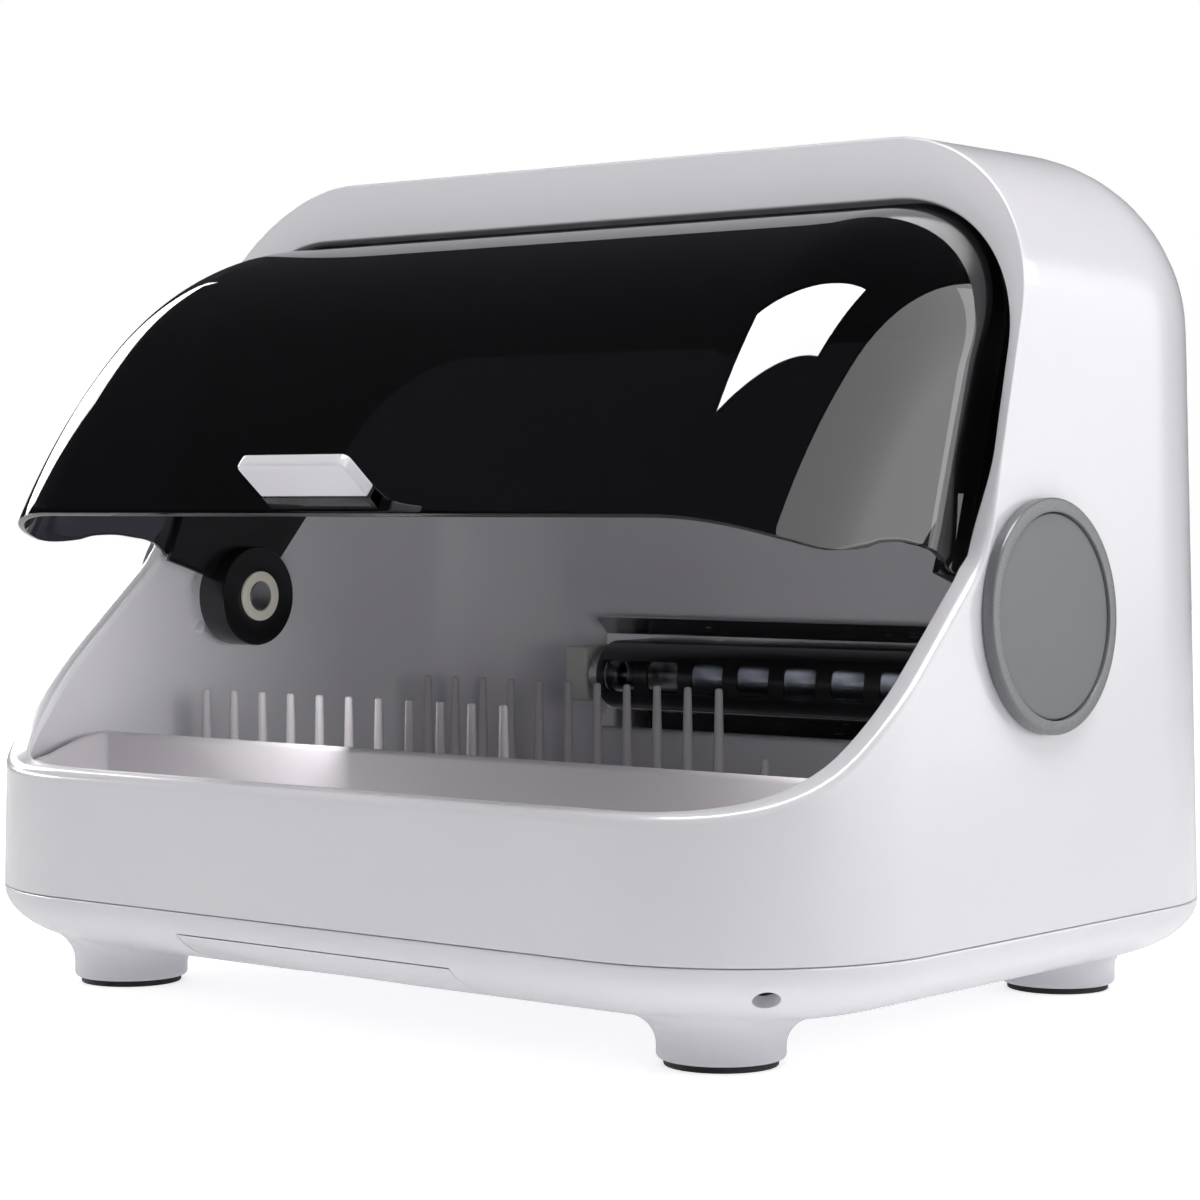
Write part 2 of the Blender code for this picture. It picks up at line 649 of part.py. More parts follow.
def half_columns():
    """Rim, inner edge and seam points of the housing's right half, from front middle to top middle."""
    profile = rim_profile()
    lengths = np.concatenate([[0], np.cumsum(np.linalg.norm(np.diff(profile, axis=0), axis=1))])
    half = BODY_WIDTH / 2
    straight = half - PLAN_RADIUS
    columns = []
    # lip, straight part
    for share in np.arange(LIP_COLUMNS) / LIP_COLUMNS:
        x = straight * share
        columns.append(((x, 0, LIP_HEIGHT), (x, RIM_WIDTH, LIP_HEIGHT), (x, 0, SEAM_HEIGHT), (x, WALL)))
    # plan corner, where the lip turns into the riser
    foot = np.interp(PLAN_RADIUS, profile[:, 0], lengths)
    for share in np.arange(CORNER_COLUMNS) / CORNER_COLUMNS:
        angle = share * math.pi / 2
        across, along = math.sin(angle), 1 - math.cos(angle)
        y = PLAN_RADIUS * along
        z = float(np.interp(y, profile[:, 0], profile[:, 1]))
        rim_half = float(half_section(z, 0)[0])
        centre = rim_half - PLAN_RADIUS
        inner = PLAN_RADIUS - RIM_WIDTH
        inner_y = PLAN_RADIUS - inner * math.cos(angle)
        inner_z = float(np.interp(inner_y, profile[:, 0], profile[:, 1]))
        rim = (centre + PLAN_RADIUS * across, y, z)
        seam = (straight + PLAN_RADIUS * across, y, SEAM_HEIGHT)
        wall = PLAN_RADIUS - WALL
        inside = (straight + wall * across, PLAN_RADIUS - wall * math.cos(angle))
        columns.append((rim, (centre + inner * across, inner_y, inner_z), seam, inside))
    # riser and frame side, straight in plan
    arch_z = BODY_HEIGHT - TOP_SIDE_RADIUS
    arch_at = np.interp(arch_z, profile[:, 1], lengths)
    riser_at = np.interp(RIM_NARROW_LOW, profile[:, 1], lengths)
    marks = np.concatenate(
        [
            np.linspace(foot, riser_at, RISER_COLUMNS, endpoint=False),
            np.linspace(riser_at, arch_at, FRAME_COLUMNS, endpoint=False),
        ]
    )
    band_foot_z = BODY_HEIGHT - BAND_HEIGHT - BAND_CORNER_RADIUS
    for mark in marks:
        share = (mark - foot) / (arch_at - foot)
        y, z = (float(np.interp(mark, lengths, profile[:, i])) for i in (0, 1))
        rim_half = float(half_section(z, 0)[0])
        narrow = ease(z, RIM_NARROW_LOW, RIM_NARROW_HIGH)
        width = RIM_WIDTH + (BAND_SIDE_WIDTH - RIM_WIDTH) * narrow
        inner_z = z - (arch_z - band_foot_z) * ease(z, RIM_NARROW_LOW, arch_z)
        inner_y = frame_y(inner_z) if narrow > 0 else y
        seam_y = PLAN_RADIUS + (BODY_DEPTH - 2 * PLAN_RADIUS) * share
        rim = (rim_half, y, z)
        inner = (rim_half - width, inner_y, inner_z)
        columns.append((rim, inner, (half, seam_y, SEAM_HEIGHT), (half - WALL, seam_y)))
    # arch corner, over the plan's rear corner
    arch_half = float(half_section(arch_z, 0)[0])
    inner_half = arch_half - BAND_SIDE_WIDTH
    for share in np.arange(ARCH_COLUMNS) / ARCH_COLUMNS:
        angle = share * math.pi / 2
        up, over = math.sin(angle), 1 - math.cos(angle)
        z = arch_z + TOP_SIDE_RADIUS * up
        inner_z = band_foot_z + BAND_CORNER_RADIUS * up
        wall = PLAN_RADIUS - WALL
        rear = BODY_DEPTH - PLAN_RADIUS
        columns.append(
            (
                (float(half_section(z, 0)[0]), frame_y(z), z),
                (inner_half - BAND_CORNER_RADIUS * over, frame_y(inner_z), inner_z),
                (straight + PLAN_RADIUS * (1 - over), rear + PLAN_RADIUS * up, SEAM_HEIGHT),
                (straight + wall * (1 - over), rear + wall * up),
            )
        )
    # top, straight part
    top_half = float(half_section(BODY_HEIGHT, 0)[0])
    inner_top_half = inner_half - BAND_CORNER_RADIUS
    inner_top = BODY_HEIGHT - BAND_HEIGHT
    for share in np.arange(TOP_COLUMNS + 1) / TOP_COLUMNS:
        left = 1 - share
        columns.append(
            (
                (top_half * left, FRAME_TOP_Y, BODY_HEIGHT),
                (inner_top_half * left, frame_y(inner_top), inner_top),
                (straight * left, BODY_DEPTH, SEAM_HEIGHT),
                (straight * left, BODY_DEPTH - WALL),
            )
        )
    return columns


def rounded_edge(first, corner, last, steps):
    """Points between first and last that round off the corner."""
    shares = np.linspace(0, 1, steps + 2)[1:-1, None]
    return (1 - shares) ** 2 * first + 2 * shares * (1 - shares) * corner + shares**2 * last


def rim_normal(rim):
    """Which way the rim's face looks at a rim point: up on the lip, forward on the frame."""
    profile = rim_profile()
    ways = unit(np.diff(profile, axis=0))
    middles = (profile[1:] + profile[:-1]) / 2
    nearest = int(np.argmin(np.linalg.norm(middles - np.array(rim[1:]), axis=1)))
    way = ways[nearest]
    return np.array((0, -way[1], way[0]))


def housing_section(rim, inner, seam, inside):
    """One closed section of the shell: up the outside, over the rim, back down the inside."""
    rim, inner, seam = np.array(rim, float), np.array(inner, float), np.array(seam, float)
    seam_inner = np.array((*inside, SEAM_HEIGHT))
    normal = rim_normal(rim)
    across = inner - rim
    width = float(np.linalg.norm(across))
    across = across / width
    share = ease(rim[2], RIM_NARROW_LOW, RIM_NARROW_HIGH)
    edge = RIM_EDGE_RADIUS + (BAND_EDGE_RADIUS - RIM_EDGE_RADIUS) * share
    core = core_of(seam[0])
    outer = spaced(surface_path(core, seam, rim, 0.0), OUTER_ROWS, trim=edge)
    face_start = rim + across * edge
    lip_edge = min(RIM_INNER_EDGE_RADIUS, (width - edge) / 3)
    face_end = inner - across * lip_edge
    edge_start = inner - normal * lip_edge
    under = inner - normal * WALL
    root = rim + across * min(WALL, width - lip_edge) - normal * WALL
    root = on_surface(core, unit(root - core)[None, :], WALL)[0]
    # the lining stands straight up from the seam past the deck, so that tongue and deck fit it
    rise = DECK_TOP + PIECE_GAP - SEAM_HEIGHT
    drawn_in = math.tan(SIDE_DRAFT) * rise * min(1.0, seam_inner[0] / (BODY_WIDTH / 2 - PLAN_RADIUS))
    above_deck = seam_inner + np.array((-drawn_in, 0, rise))
    lining = spaced(surface_path(core, root, above_deck, WALL), INNER_ROWS)
    return np.concatenate(
        [
            outer,
            rounded_edge(outer[-1], rim, face_start, 2),
            [face_start, face_end, edge_start, under],
            lining,
            [seam_inner],
        ]
    )


def mirrored(points):
    return [(-x, y, z) for x, y, z in points]


def housing_mesh():
    right = [housing_section(*column) for column in half_columns()]
    left = [mirrored(section) for section in right[-2:0:-1]]
    return loft("housing", [list(map(tuple, section)) for section in right] + left, closed=True)


def side_face_x(z):
    return BODY_WIDTH / 2 - math.tan(SIDE_DRAFT) * (z - SEAM_HEIGHT)


SIDES = (("left", -1), ("right", 1))
TO_X = math.pi / 2
TO_REAR = -math.pi / 2


def disc_profile(radius, low, high):
    return [(0, high), (radius, high), (radius, low), (0, low)]


def ring_profile(inner, outer, low, high, edge=0.0):
    if not edge:
        return [(outer, high), (outer, low), (inner, low), (inner, high)]
    nip = edge / 3
    return [
        (outer - edge, high),
        (outer - nip, high - nip),
        (outer, high - edge),
        (outer, low),
        (inner, low),
        (inner, high - nip),
        (inner + nip, high),
    ]


def make_housing():
    housing = new_object("housing", housing_mesh(), white_abs)
    for side, sign in SIDES:
        boss_end = BOSS_FACE_X + BOSS_LENGTH + WALL / 2
        boss = turned("boss_" + side, disc_profile(BOSS_RADIUS, BOSS_FACE_X, boss_end))
        at = (0, PIVOT_Y, PIVOT_Z)
        combine(housing, cutter("boss_" + side, boss, at, (0, sign * TO_X, 0)), "UNION")
        bore_profile = disc_profile(PIN_HOLE_RADIUS, BOSS_FACE_X - CUT_OVERRUN, BODY_WIDTH / 2)
        bore = turned("pin_hole_" + side, bore_profile)
        combine(housing, cutter("pin_hole_" + side, bore, at, (0, sign * TO_X, 0)), "DIFFERENCE")
    for name, x, radius in (
        ("inlet_hole", INLET_X, INLET_RADIUS + PIECE_GAP),
        ("button_hole", BUTTON_X, BUTTON_RADIUS + BUTTON_CLEARANCE + BEZEL_WALL + PIECE_GAP),
    ):
        hole = turned(name, disc_profile(radius, -WALL - CUT_OVERRUN, CUT_OVERRUN), SMALL_ROUND_STEPS)
        at = (x, BODY_DEPTH, REAR_FITTING_Z)
        combine(housing, cutter(name, hole, at, (TO_REAR, 0, 0)), "DIFFERENCE")
    return housing


# Base pan: flat bottom, elliptic chamfer, seam ledge and a tongue inside the housing
def pan_rings():
    seam = SEAM_HEIGHT - PIECE_GAP
    rings = []
    for i in range(CORNER_STEPS + 1):
        angle = i / CORNER_STEPS * math.pi / 2
        rings.append((PAN_CHAMFER * (1 - math.sin(angle)), seam - (seam - PAN_BOTTOM) * math.cos(angle)))
    outer = list(rings)
    inner_inset = TONGUE_INSET + TONGUE_THICKNESS
    rings += [(TONGUE_INSET, seam), (TONGUE_INSET, TONGUE_TOP), (inner_inset, TONGUE_TOP)]
    for i in range(CORNER_STEPS, -1, -1):
        angle = i / CORNER_STEPS * math.pi / 2
        inset = inner_inset + (PAN_CHAMFER - inner_inset) * (1 - math.sin(angle))
        rings.append((inset, seam - (seam - PAN_FLOOR) * math.cos(angle)))
    return outer, rings


def ringed(name, rings):
    return loft(name, [[(x, y, z) for x, y in body_outline(inset)] for inset, z in rings])


def pan_outer_z(inset):
    """Height of the pan's outer face at an inset."""
    seam = SEAM_HEIGHT - PIECE_GAP
    share = 1 - min(inset, PAN_CHAMFER) / PAN_CHAMFER
    return seam - (seam - PAN_BOTTOM) * math.sqrt(1 - share**2)


def inset_of(x, y):
    """How far a plan point lies inside the body's outline at the seam."""
    across = abs(x) - (BODY_WIDTH / 2 - PLAN_RADIUS)
    along = max(PLAN_RADIUS - y, y - (BODY_DEPTH - PLAN_RADIUS))
    if across > 0 and along > 0:
        return PLAN_RADIUS - math.hypot(across, along)
    return PLAN_RADIUS - max(across, along)


def leg_mesh(name, x, y):
    """A round leg with a blind hole for the pad's stem, filleted into the pan's curved underside."""

    def ring(radius, z=None, drop=0.0):
        points = []
        for i in range(ROUND_STEPS):
            angle = 2 * math.pi * i / ROUND_STEPS
            px, py = x + radius * math.cos(angle), y + radius * math.sin(angle)
            points.append((px, py, pan_outer_z(inset_of(px, py)) - drop if z is None else z))
        return points

    hole_radius = PAD_STEM_RADIUS + PIECE_GAP
    hole_top = PAD_THICKNESS + PAD_STEM_LENGTH + PIECE_GAP
    rings = [ring(hole_radius, hole_top), ring(hole_radius, LEG_BOTTOM)]
    for share in (0.0, 0.5, 1.0):
        turn = share * math.pi / 2
        radius = LEG_RADIUS - LEG_EDGE_RADIUS * (1 - math.sin(turn))
        rings.append(ring(radius, LEG_BOTTOM + LEG_EDGE_RADIUS * (1 - math.cos(turn))))
    for i in range(LEG_FILLET_STEPS + 1):
        turn = i / LEG_FILLET_STEPS * math.pi / 2
        radius = LEG_RADIUS + LEG_FLARE * (1 - math.cos(turn))
        rings.append(ring(radius, drop=(LEG_FLARE + FUSE_DEPTH) * (1 - math.sin(turn)) - FUSE_DEPTH))
    rings.append(ring(LEG_RADIUS / 2, PAN_BOTTOM + FUSE_DEPTH))
    return loft(name, rings)


FEET = (
    ("front_left", -FOOT_X, FOOT_END_INSET),
    ("front_right", FOOT_X, FOOT_END_INSET),
    ("rear_left", -FOOT_X, FOOT_REAR_Y),
    ("rear_right", FOOT_X, FOOT_REAR_Y),
)


def make_base():
    _, rings = pan_rings()
    pan = new_object("base_pan", ringed("base_pan", rings), pearl_abs)
    for place, x, y in FEET:
        combine(pan, cutter("leg_" + place, leg_mesh("leg_" + place, x, y)), "UNION")
    mouth = box_mesh(
        "tray_mouth",
        (-TRAY_HALF_WIDTH - TRAY_CLEARANCE, -CUT_OVERRUN, PAN_BOTTOM - CUT_OVERRUN),
        (TRAY_HALF_WIDTH + TRAY_CLEARANCE, TRAY_STEP_Y, TRAY_TOP + TRAY_CLEARANCE),
    )
    combine(pan, cutter("tray_mouth", mouth), "DIFFERENCE")
    for side, sign in SIDES:
        low = (sign * RUNNER_X - RUNNER_WIDTH / 2, TRAY_STEP_Y + TRAY_CLEARANCE, PAN_FLOOR - FUSE_DEPTH)
        high = (sign * RUNNER_X + RUNNER_WIDTH / 2, TRAY_REAR_Y, TRAY_BOTTOM - PIECE_GAP)
        combine(pan, cutter("runner_" + side, box_mesh("runner_" + side, low, high)), "UNION")
    stop_low = (-RUNNER_X, TRAY_REAR_Y + PIECE_GAP, PAN_FLOOR - FUSE_DEPTH)
    stop_high = (RUNNER_X, TRAY_REAR_Y + RUNNER_WIDTH, TRAY_TOP)
    combine(pan, cutter("tray_stop", box_mesh("tray_stop", stop_low, stop_high)), "UNION")
    make_drain(pan)
    reach = TONGUE_INSET + TONGUE_THICKNESS
    notches = (("inlet_notch", INLET_X, INLET_RADIUS), ("button_notch", BUTTON_X, BUTTON_RADIUS))
    for name, x, radius in notches:
        wide = radius + BUTTON_CLEARANCE + BEZEL_WALL + PIECE_GAP
        low = (x - wide, BODY_DEPTH - reach - CUT_OVERRUN, REAR_FITTING_Z - wide)
        high = (x + wide, BODY_DEPTH - WALL, REAR_FITTING_Z + wide)
        combine(pan, cutter(name, box_mesh(name, low, high)), "DIFFERENCE")
    for place, x, y in FEET:
        stem = PAD_THICKNESS + PAD_STEM_LENGTH
        profile = [
            (0, stem),
            (PAD_STEM_RADIUS, stem),
            (PAD_STEM_RADIUS, PAD_THICKNESS),
            (PAD_RADIUS, PAD_THICKNESS),
            (PAD_RADIUS, 0),
            (0, 0),
        ]
        new_object("foot_pad_" + place, turned("foot_pad_" + place, profile), rubber, (x, y, 0))


def make_drain(pan):
    """A round drain hole through the front right corner, square to the chamfer."""
    reach = PLAN_RADIUS - DRAIN_INSET
    x = BODY_WIDTH / 2 - PLAN_RADIUS + reach * math.cos(DRAIN_ANGLE)
    y = PLAN_RADIUS + reach * math.sin(DRAIN_ANGLE)
    out = 1 - DRAIN_INSET / PAN_CHAMFER
    level = out / PAN_CHAMFER
    down = math.sqrt(1 - out**2) / (SEAM_HEIGHT - PIECE_GAP - PAN_BOTTOM)
    normal = Vector((level * math.cos(DRAIN_ANGLE), level * math.sin(DRAIN_ANGLE), -down))
    hole = turned("drain_hole", disc_profile(DRAIN_RADIUS, -2 * WALL, 2 * WALL), SMALL_ROUND_STEPS)
    at = (x, y, pan_outer_z(DRAIN_INSET))
    combine(pan, cutter("drain_hole", hole, at, normal.to_track_quat("Z", "Y").to_euler()), "DIFFERENCE")


def make_drip_tray():
    outer, _ = pan_rings()
    envelope = cutter("pan_envelope", ringed("pan_envelope", outer + [(0, BODY_HEIGHT / 2)]))
    step = TRAY_STEP_Y - TRAY_CLEARANCE
    below = PAN_BOTTOM - CUT_OVERRUN
    side_view = [
        (-CUT_OVERRUN, below),
        (step, below),
        (step, TRAY_BOTTOM),
        (TRAY_REAR_Y, TRAY_BOTTOM),
        (TRAY_REAR_Y, TRAY_TOP),
        (-CUT_OVERRUN, TRAY_TOP),
    ]
    tray = new_object("drip_tray", prism("drip_tray", side_view, TRAY_HALF_WIDTH), pearl_abs)
    combine(tray, envelope, "INTERSECT")
    hollow = box_mesh(
        "tray_hollow",
        (TRAY_WALL - TRAY_HALF_WIDTH, chamfer_y(TRAY_BOTTOM) + TRAY_FRONT_WALL, TRAY_BOTTOM + TRAY_WALL),
        (TRAY_HALF_WIDTH - TRAY_WALL, TRAY_REAR_Y - TRAY_WALL, TRAY_TOP + CUT_OVERRUN),
    )
    combine(tray, cutter("tray_hollow", hollow), "DIFFERENCE")
    shape = bmesh.new()
    bmesh.ops.create_uvsphere(shape, u_segments=ROUND_STEPS, v_segments=SMALL_ROUND_STEPS, radius=1.0)
    size = Matrix.Diagonal((SCOOP_HALF_WIDTH, SCOOP_DEPTH, SCOOP_HEIGHT, 1.0))
    bmesh.ops.transform(shape, matrix=size, verts=shape.verts)
    scoop = cutter("finger_scoop", outward(shape, "finger_scoop"), (0, SCOOP_Y, PAN_BOTTOM))
    combine(tray, scoop, "DIFFERENCE")


def chamfer_y(z):
    """Y of the pan's front chamfer at a height."""
    seam = SEAM_HEIGHT - PIECE_GAP
    share = (seam - z) / (seam - PAN_BOTTOM)
    return PAN_CHAMFER * (1 - math.sqrt(1 - share**2))


# Deck and the inserts that lift out
def make_deck():
    radius = PLAN_RADIUS - DECK_INSET
    edge = rounded_rectangle(BODY_WIDTH / 2 - DECK_INSET, DECK_INSET, BODY_DEPTH - DECK_INSET, radius, radius)
    outlines = [edge]
    pitch = 2 * SLOT_FIELD_HALF_WIDTH / (SLOT_COUNT - 1)
    for row in range(SLOT_ROWS):
        y = SLOT_FIELD_FRONT_Y + SLOT_LENGTH / 2 + row * SLOT_ROW_PITCH
        for column in range(SLOT_COUNT):
            outlines.append(slot_outline(column * pitch - SLOT_FIELD_HALF_WIDTH, y, SLOT_WIDTH, SLOT_LENGTH))
    plate = flat_mesh("drain_deck", outlines, DECK_THICKNESS)
    new_object("drain_deck", plate, grey_insert, (0, 0, (DECK_BOTTOM + DECK_TOP) / 2))


def trough_ring(inset, z, lift):
    """An outline of the trough. The rim climbs towards the rear by the lift share."""
    start = LIP_TO_TROUGH + inset
    half = float(half_section(LIP_HEIGHT, 0)[0]) - start
    front_radius = PLAN_RADIUS - start
    rear_radius = max(TROUGH_REAR_CORNER - inset, TROUGH_WALL)
    front_radius = min(front_radius, TROUGH_REAR_Y - inset - start - rear_radius - TROUGH_WALL)
    points = rounded_rectangle(half, start, TROUGH_REAR_Y - inset, front_radius, rear_radius)
    ring = []
    for x, y in points:
        rise = TROUGH_REAR_RISE * ease(y + inset, TROUGH_RISE_START_Y, TROUGH_REAR_Y)
        ring.append((x, y, z + rise * lift))
    return ring


def make_trough():
    crest = LIP_HEIGHT
    under = crest - TROUGH_RIM_DROP
    edge = TROUGH_RIM_WIDTH / 4
    floor = INSERT_BOTTOM
    wall_inset = TROUGH_RIM_WIDTH - TROUGH_WALL
    rings = [
        trough_ring(wall_inset + TROUGH_TAPER, floor, 0),
        trough_ring(wall_inset, under, 1),
        trough_ring(0, under, 1),
        trough_ring(0, crest - edge / 2, 1),
        trough_ring(edge, crest, 1),
        trough_ring(TROUGH_RIM_WIDTH - edge, crest, 1),
        trough_ring(TROUGH_RIM_WIDTH, crest - edge / 2, 1),
        trough_ring(TROUGH_RIM_WIDTH + edge, under - edge, 1),
        trough_ring(wall_inset + TROUGH_TAPER + TROUGH_WALL, floor + 2 * TROUGH_WALL, 0),
        trough_ring(wall_inset + TROUGH_TAPER + 2 * TROUGH_WALL, floor + TROUGH_WALL, 0),
    ]
    new_object("cutlery_trough", loft("cutlery_trough", rings), grey_insert)


def make_rack(name, low_x, high_x, count, height, rows):
    """A frame of rails with rows of tapered posts standing on it."""
    half = (high_x - low_x) / 2
    nip = RACK_RAIL / 4
    edge = rounded_rectangle(half, RACK_FRONT_Y, RACK_REAR_Y, nip, nip, steps=1)
    hole_half = half - RACK_RAIL
    hole_front, hole_rear = RACK_FRONT_Y + RACK_RAIL, RACK_REAR_Y - RACK_RAIL
    middle = (hole_front + hole_rear) / 2
    holes = [
        rounded_rectangle(hole_half, hole_front, middle - RACK_RAIL / 2, nip, nip, steps=1),
        rounded_rectangle(hole_half, middle + RACK_RAIL / 2, hole_rear, nip, nip, steps=1),
    ]
    centre_x = (low_x + high_x) / 2
    base = flat_mesh(name, [edge] + holes, RACK_THICKNESS)
    rack = new_object(name, base, grey_insert, (centre_x, 0, INSERT_BOTTOM + RACK_THICKNESS / 2))
    span = 2 * (half - RACK_RAIL / 2)
    for row, y in enumerate(rows):
        posts = []
        for i in range(count):
            post = bmesh.new()
            bmesh.ops.create_cone(
                post,
                cap_ends=True,
                segments=SMALL_ROUND_STEPS // 2,
                radius1=POST_RADIUS,
                radius2=POST_RADIUS * POST_TIP_SHARE,
                depth=height,
            )
            x = low_x + RACK_RAIL / 2 + span * i / (count - 1)
            base_z = INSERT_BOTTOM + RACK_THICKNESS - FUSE_DEPTH
            bmesh.ops.translate(post, vec=(x, y, base_z + height / 2), verts=post.verts)
            posts.append(outward(post, name + "_post"))
        tool = cutter(f"{name}_posts_{row}", joined_mesh(f"{name}_posts_{row}", posts))
        combine(rack, tool, "UNION")


def make_racks():
    front = RACK_FRONT_Y + RACK_RAIL / 2
    rear = RACK_REAR_Y - RACK_RAIL / 2
    middle = (front + rear) / 2
    rows = (front, rear)
    make_rack("plate_rack", -RACK_END_X, -RACK_MIDDLE_GAP, PLATE_POST_COUNT, PLATE_POST_HEIGHT, rows)
    rows = (front, middle, rear)
    make_rack("bowl_rack", RACK_MIDDLE_GAP, RACK_END_X, BOWL_POST_COUNT, BOWL_POST_HEIGHT, rows)


# Lid: window and carrier are sectors of one drum
ROWS_ON_DRUM = 9


def plane_angle(radius, offset):
    """Angle at which a circle round the drum's axis meets the frame plane set back by an offset."""
    reach = DRUM_Y - frame_y(DRUM_Z) - offset
    distance = reach * math.cos(FRAME_LEAN)
    return FRAME_LEAN + math.acos(min(1.0, distance / radius))


def wing_low_angle(radius):
    return float(np.interp(radius / LID_RADIUS, WING_RADIUS_SHARES, WING_ANGLES))


def drum_stations(half_width, radius, corner_radius, inner_radius):
    """Half of the drum's section from its middle to the hub, as (x, radius) pairs."""
    flat_end = half_width - corner_radius
    stations = [(flat_end * share, radius) for share in np.arange(3) / 3]
    for i in range(CORNER_STEPS):
        angle = i / CORNER_STEPS * math.pi / 2
        stations.append(
            (flat_end + corner_radius * math.sin(angle), radius - corner_radius * (1 - math.cos(angle)))
        )
    stations += [(half_width, r) for r in np.linspace(radius - corner_radius, inner_radius, CORNER_STEPS + 1)]
    return stations


def drum_sheet(name, stations, low_angle, high_angle, lip_rise, lip_depth):
    """Open outer surface of a sector of the drum, about its axis."""
    both = [(-x, r) for x, r in reversed(stations[1:])] + stations
    shape = bmesh.new()
    grid = []
    for x, radius in both:
        low, high = low_angle(radius), high_angle(radius)
        lip_share = 1 - lip_depth / (radius * (high - low))
        shares = list(np.linspace(0, max(lip_share, 0.5), ROWS_ON_DRUM)) + [1.0]
        line = []
        for share in shares:
            angle = low + (high - low) * share
            grown = lid_radius_at(angle, radius)
            if share == 1.0:
                grown += lip_rise * radius / LID_RADIUS
            line.append(shape.verts.new((x, -grown * math.cos(angle), grown * math.sin(angle))))
        grid.append(line)
    for one, two in zip(grid, grid[1:]):
        for i in range(len(one) - 1):
            shape.faces.new((one[i], two[i], two[i + 1], one[i + 1]))
    mesh = bpy.data.meshes.new(name)
    shape.to_mesh(mesh)
    shape.free()
    return smooth(mesh)


def thicken(piece, thickness):
    shell = piece.modifiers.new("wall", "SOLIDIFY")
    shell.thickness = thickness
    shell.offset = -1.0
    shell.use_even_offset = True


def tab_outline(low, high, start, end):
    """Four points of a bar in the tab's side view: heights over its underside, and lengths from its root."""
    root = wall_middle(TAB_RISE)
    corners = ((start, low), (end, low), (end, high), (start, high))
    return [tuple((root + TAB_ALONG * along + TAB_UP * up).yz) for along, up in corners]


def make_lid():
    at = (0, DRUM_Y, DRUM_Z)
    stations = drum_stations(LID_HALF_WIDTH, LID_RADIUS, LID_CORNER_RADIUS, LID_TIP_RADIUS)

    def rear(radius):
        return plane_angle(radius, LID_REAR_PLANE_OFFSET)

    sheet = drum_sheet("lid_window", stations, wing_low_angle, rear, LID_LIP_RISE, LID_LIP_DEPTH)
    window = new_object("lid_window", sheet, smoke_window, at)
    thicken(window, LID_WALL)
    # the tab's root follows the wall, and a thinner tongue at its end goes into the grip
    root_high = wall_middle(TAB_RISE + GRIP_THICKNESS)
    bar = tab_outline(0, GRIP_THICKNESS, 0, GRIP_LOW - PIECE_GAP)
    bar[-1] = tuple(root_high.yz)
    combine(window, cutter("grip_tab", prism("grip_tab", bar, TAB_HALF_WIDTH), at), "UNION")
    low, high = (GRIP_THICKNESS - LID_WALL) / 2, (GRIP_THICKNESS + LID_WALL) / 2
    tongue = tab_outline(low, high, GRIP_LOW - PIECE_GAP - FUSE_DEPTH, GRIP_LOW + TONGUE_LENGTH)
    combine(window, cutter("grip_tongue", prism("grip_tongue", tongue, TONGUE_HALF_WIDTH), at), "UNION")

    carrier_radius = LID_RADIUS - LID_WALL - CARRIER_GAP
    carrier_half = LID_HALF_WIDTH - LID_WALL - CARRIER_GAP
    carrier_corner = LID_CORNER_RADIUS - LID_WALL
    inner_stations = drum_stations(carrier_half, carrier_radius, carrier_corner, CARRIER_INNER_RADIUS)

    def front(radius):
        return plane_angle(radius, LID_REAR_PLANE_OFFSET - CARRIER_OVERLAP)

    def back(radius):
        return CARRIER_REAR_ANGLE

    shell = drum_sheet("lid_carrier", inner_stations, front, back, 0.0, LID_LIP_DEPTH)
    carrier = new_object("lid_carrier", shell, dark_carrier, at)
    thicken(carrier, LID_WALL)
    for side, sign in SIDES:
        hub = turned("hub_" + side, ring_profile(HUB_BORE_RADIUS, HUB_RADIUS, HUB_INNER_X, HUB_OUTER_X))
        pivot = (0, PIVOT_Y, PIVOT_Z)
        combine(carrier, cutter("hub_" + side, hub, pivot, (0, sign * TO_X, 0)), "UNION")


def make_grip():
    """A white cap with rounded front corners and a pocket for the tab's tongue."""
    half, length = TAB_HALF_WIDTH, GRIP_LENGTH
    outline = rounded_rectangle(half, 0, length, GRIP_ROOT_RADIUS, GRIP_CORNER_RADIUS, GRIP_CORNER_STEPS)
    plate = flat_mesh("lid_grip", [outline], GRIP_THICKNESS)
    shape = bmesh.new()
    shape.from_mesh(plate)
    rims = [edge for edge in shape.edges if edge.calc_face_angle(0.0) > RIM_TURN]
    bmesh.ops.bevel(shape, geom=rims, offset=GRIP_BEVEL, segments=2, affect="EDGES", profile=0.5)
    plate = smooth(outward(shape, "lid_grip"))
    # outline X and Y become X and the tab's direction, and thickness runs down to the underside
    turn = Matrix((Vector((1, 0, 0)), TAB_ALONG, -TAB_UP)).transposed().to_4x4()
    centre = wall_middle(TAB_RISE) + TAB_ALONG * GRIP_LOW + TAB_UP * GRIP_THICKNESS / 2
    plate.transform(Matrix.Translation(centre) @ turn)
    at = (0, DRUM_Y, DRUM_Z)
    grip = new_object("lid_grip", plate, white_abs, at)
    low = (GRIP_THICKNESS - LID_WALL) / 2 - PIECE_GAP
    high = (GRIP_THICKNESS + LID_WALL) / 2 + PIECE_GAP
    pocket = tab_outline(low, high, GRIP_LOW - CUT_OVERRUN, GRIP_LOW + TONGUE_LENGTH + PIECE_GAP)
    hollow = prism("grip_pocket", pocket, TONGUE_HALF_WIDTH + PIECE_GAP)
    combine(grip, cutter("grip_pocket", hollow, at), "DIFFERENCE")


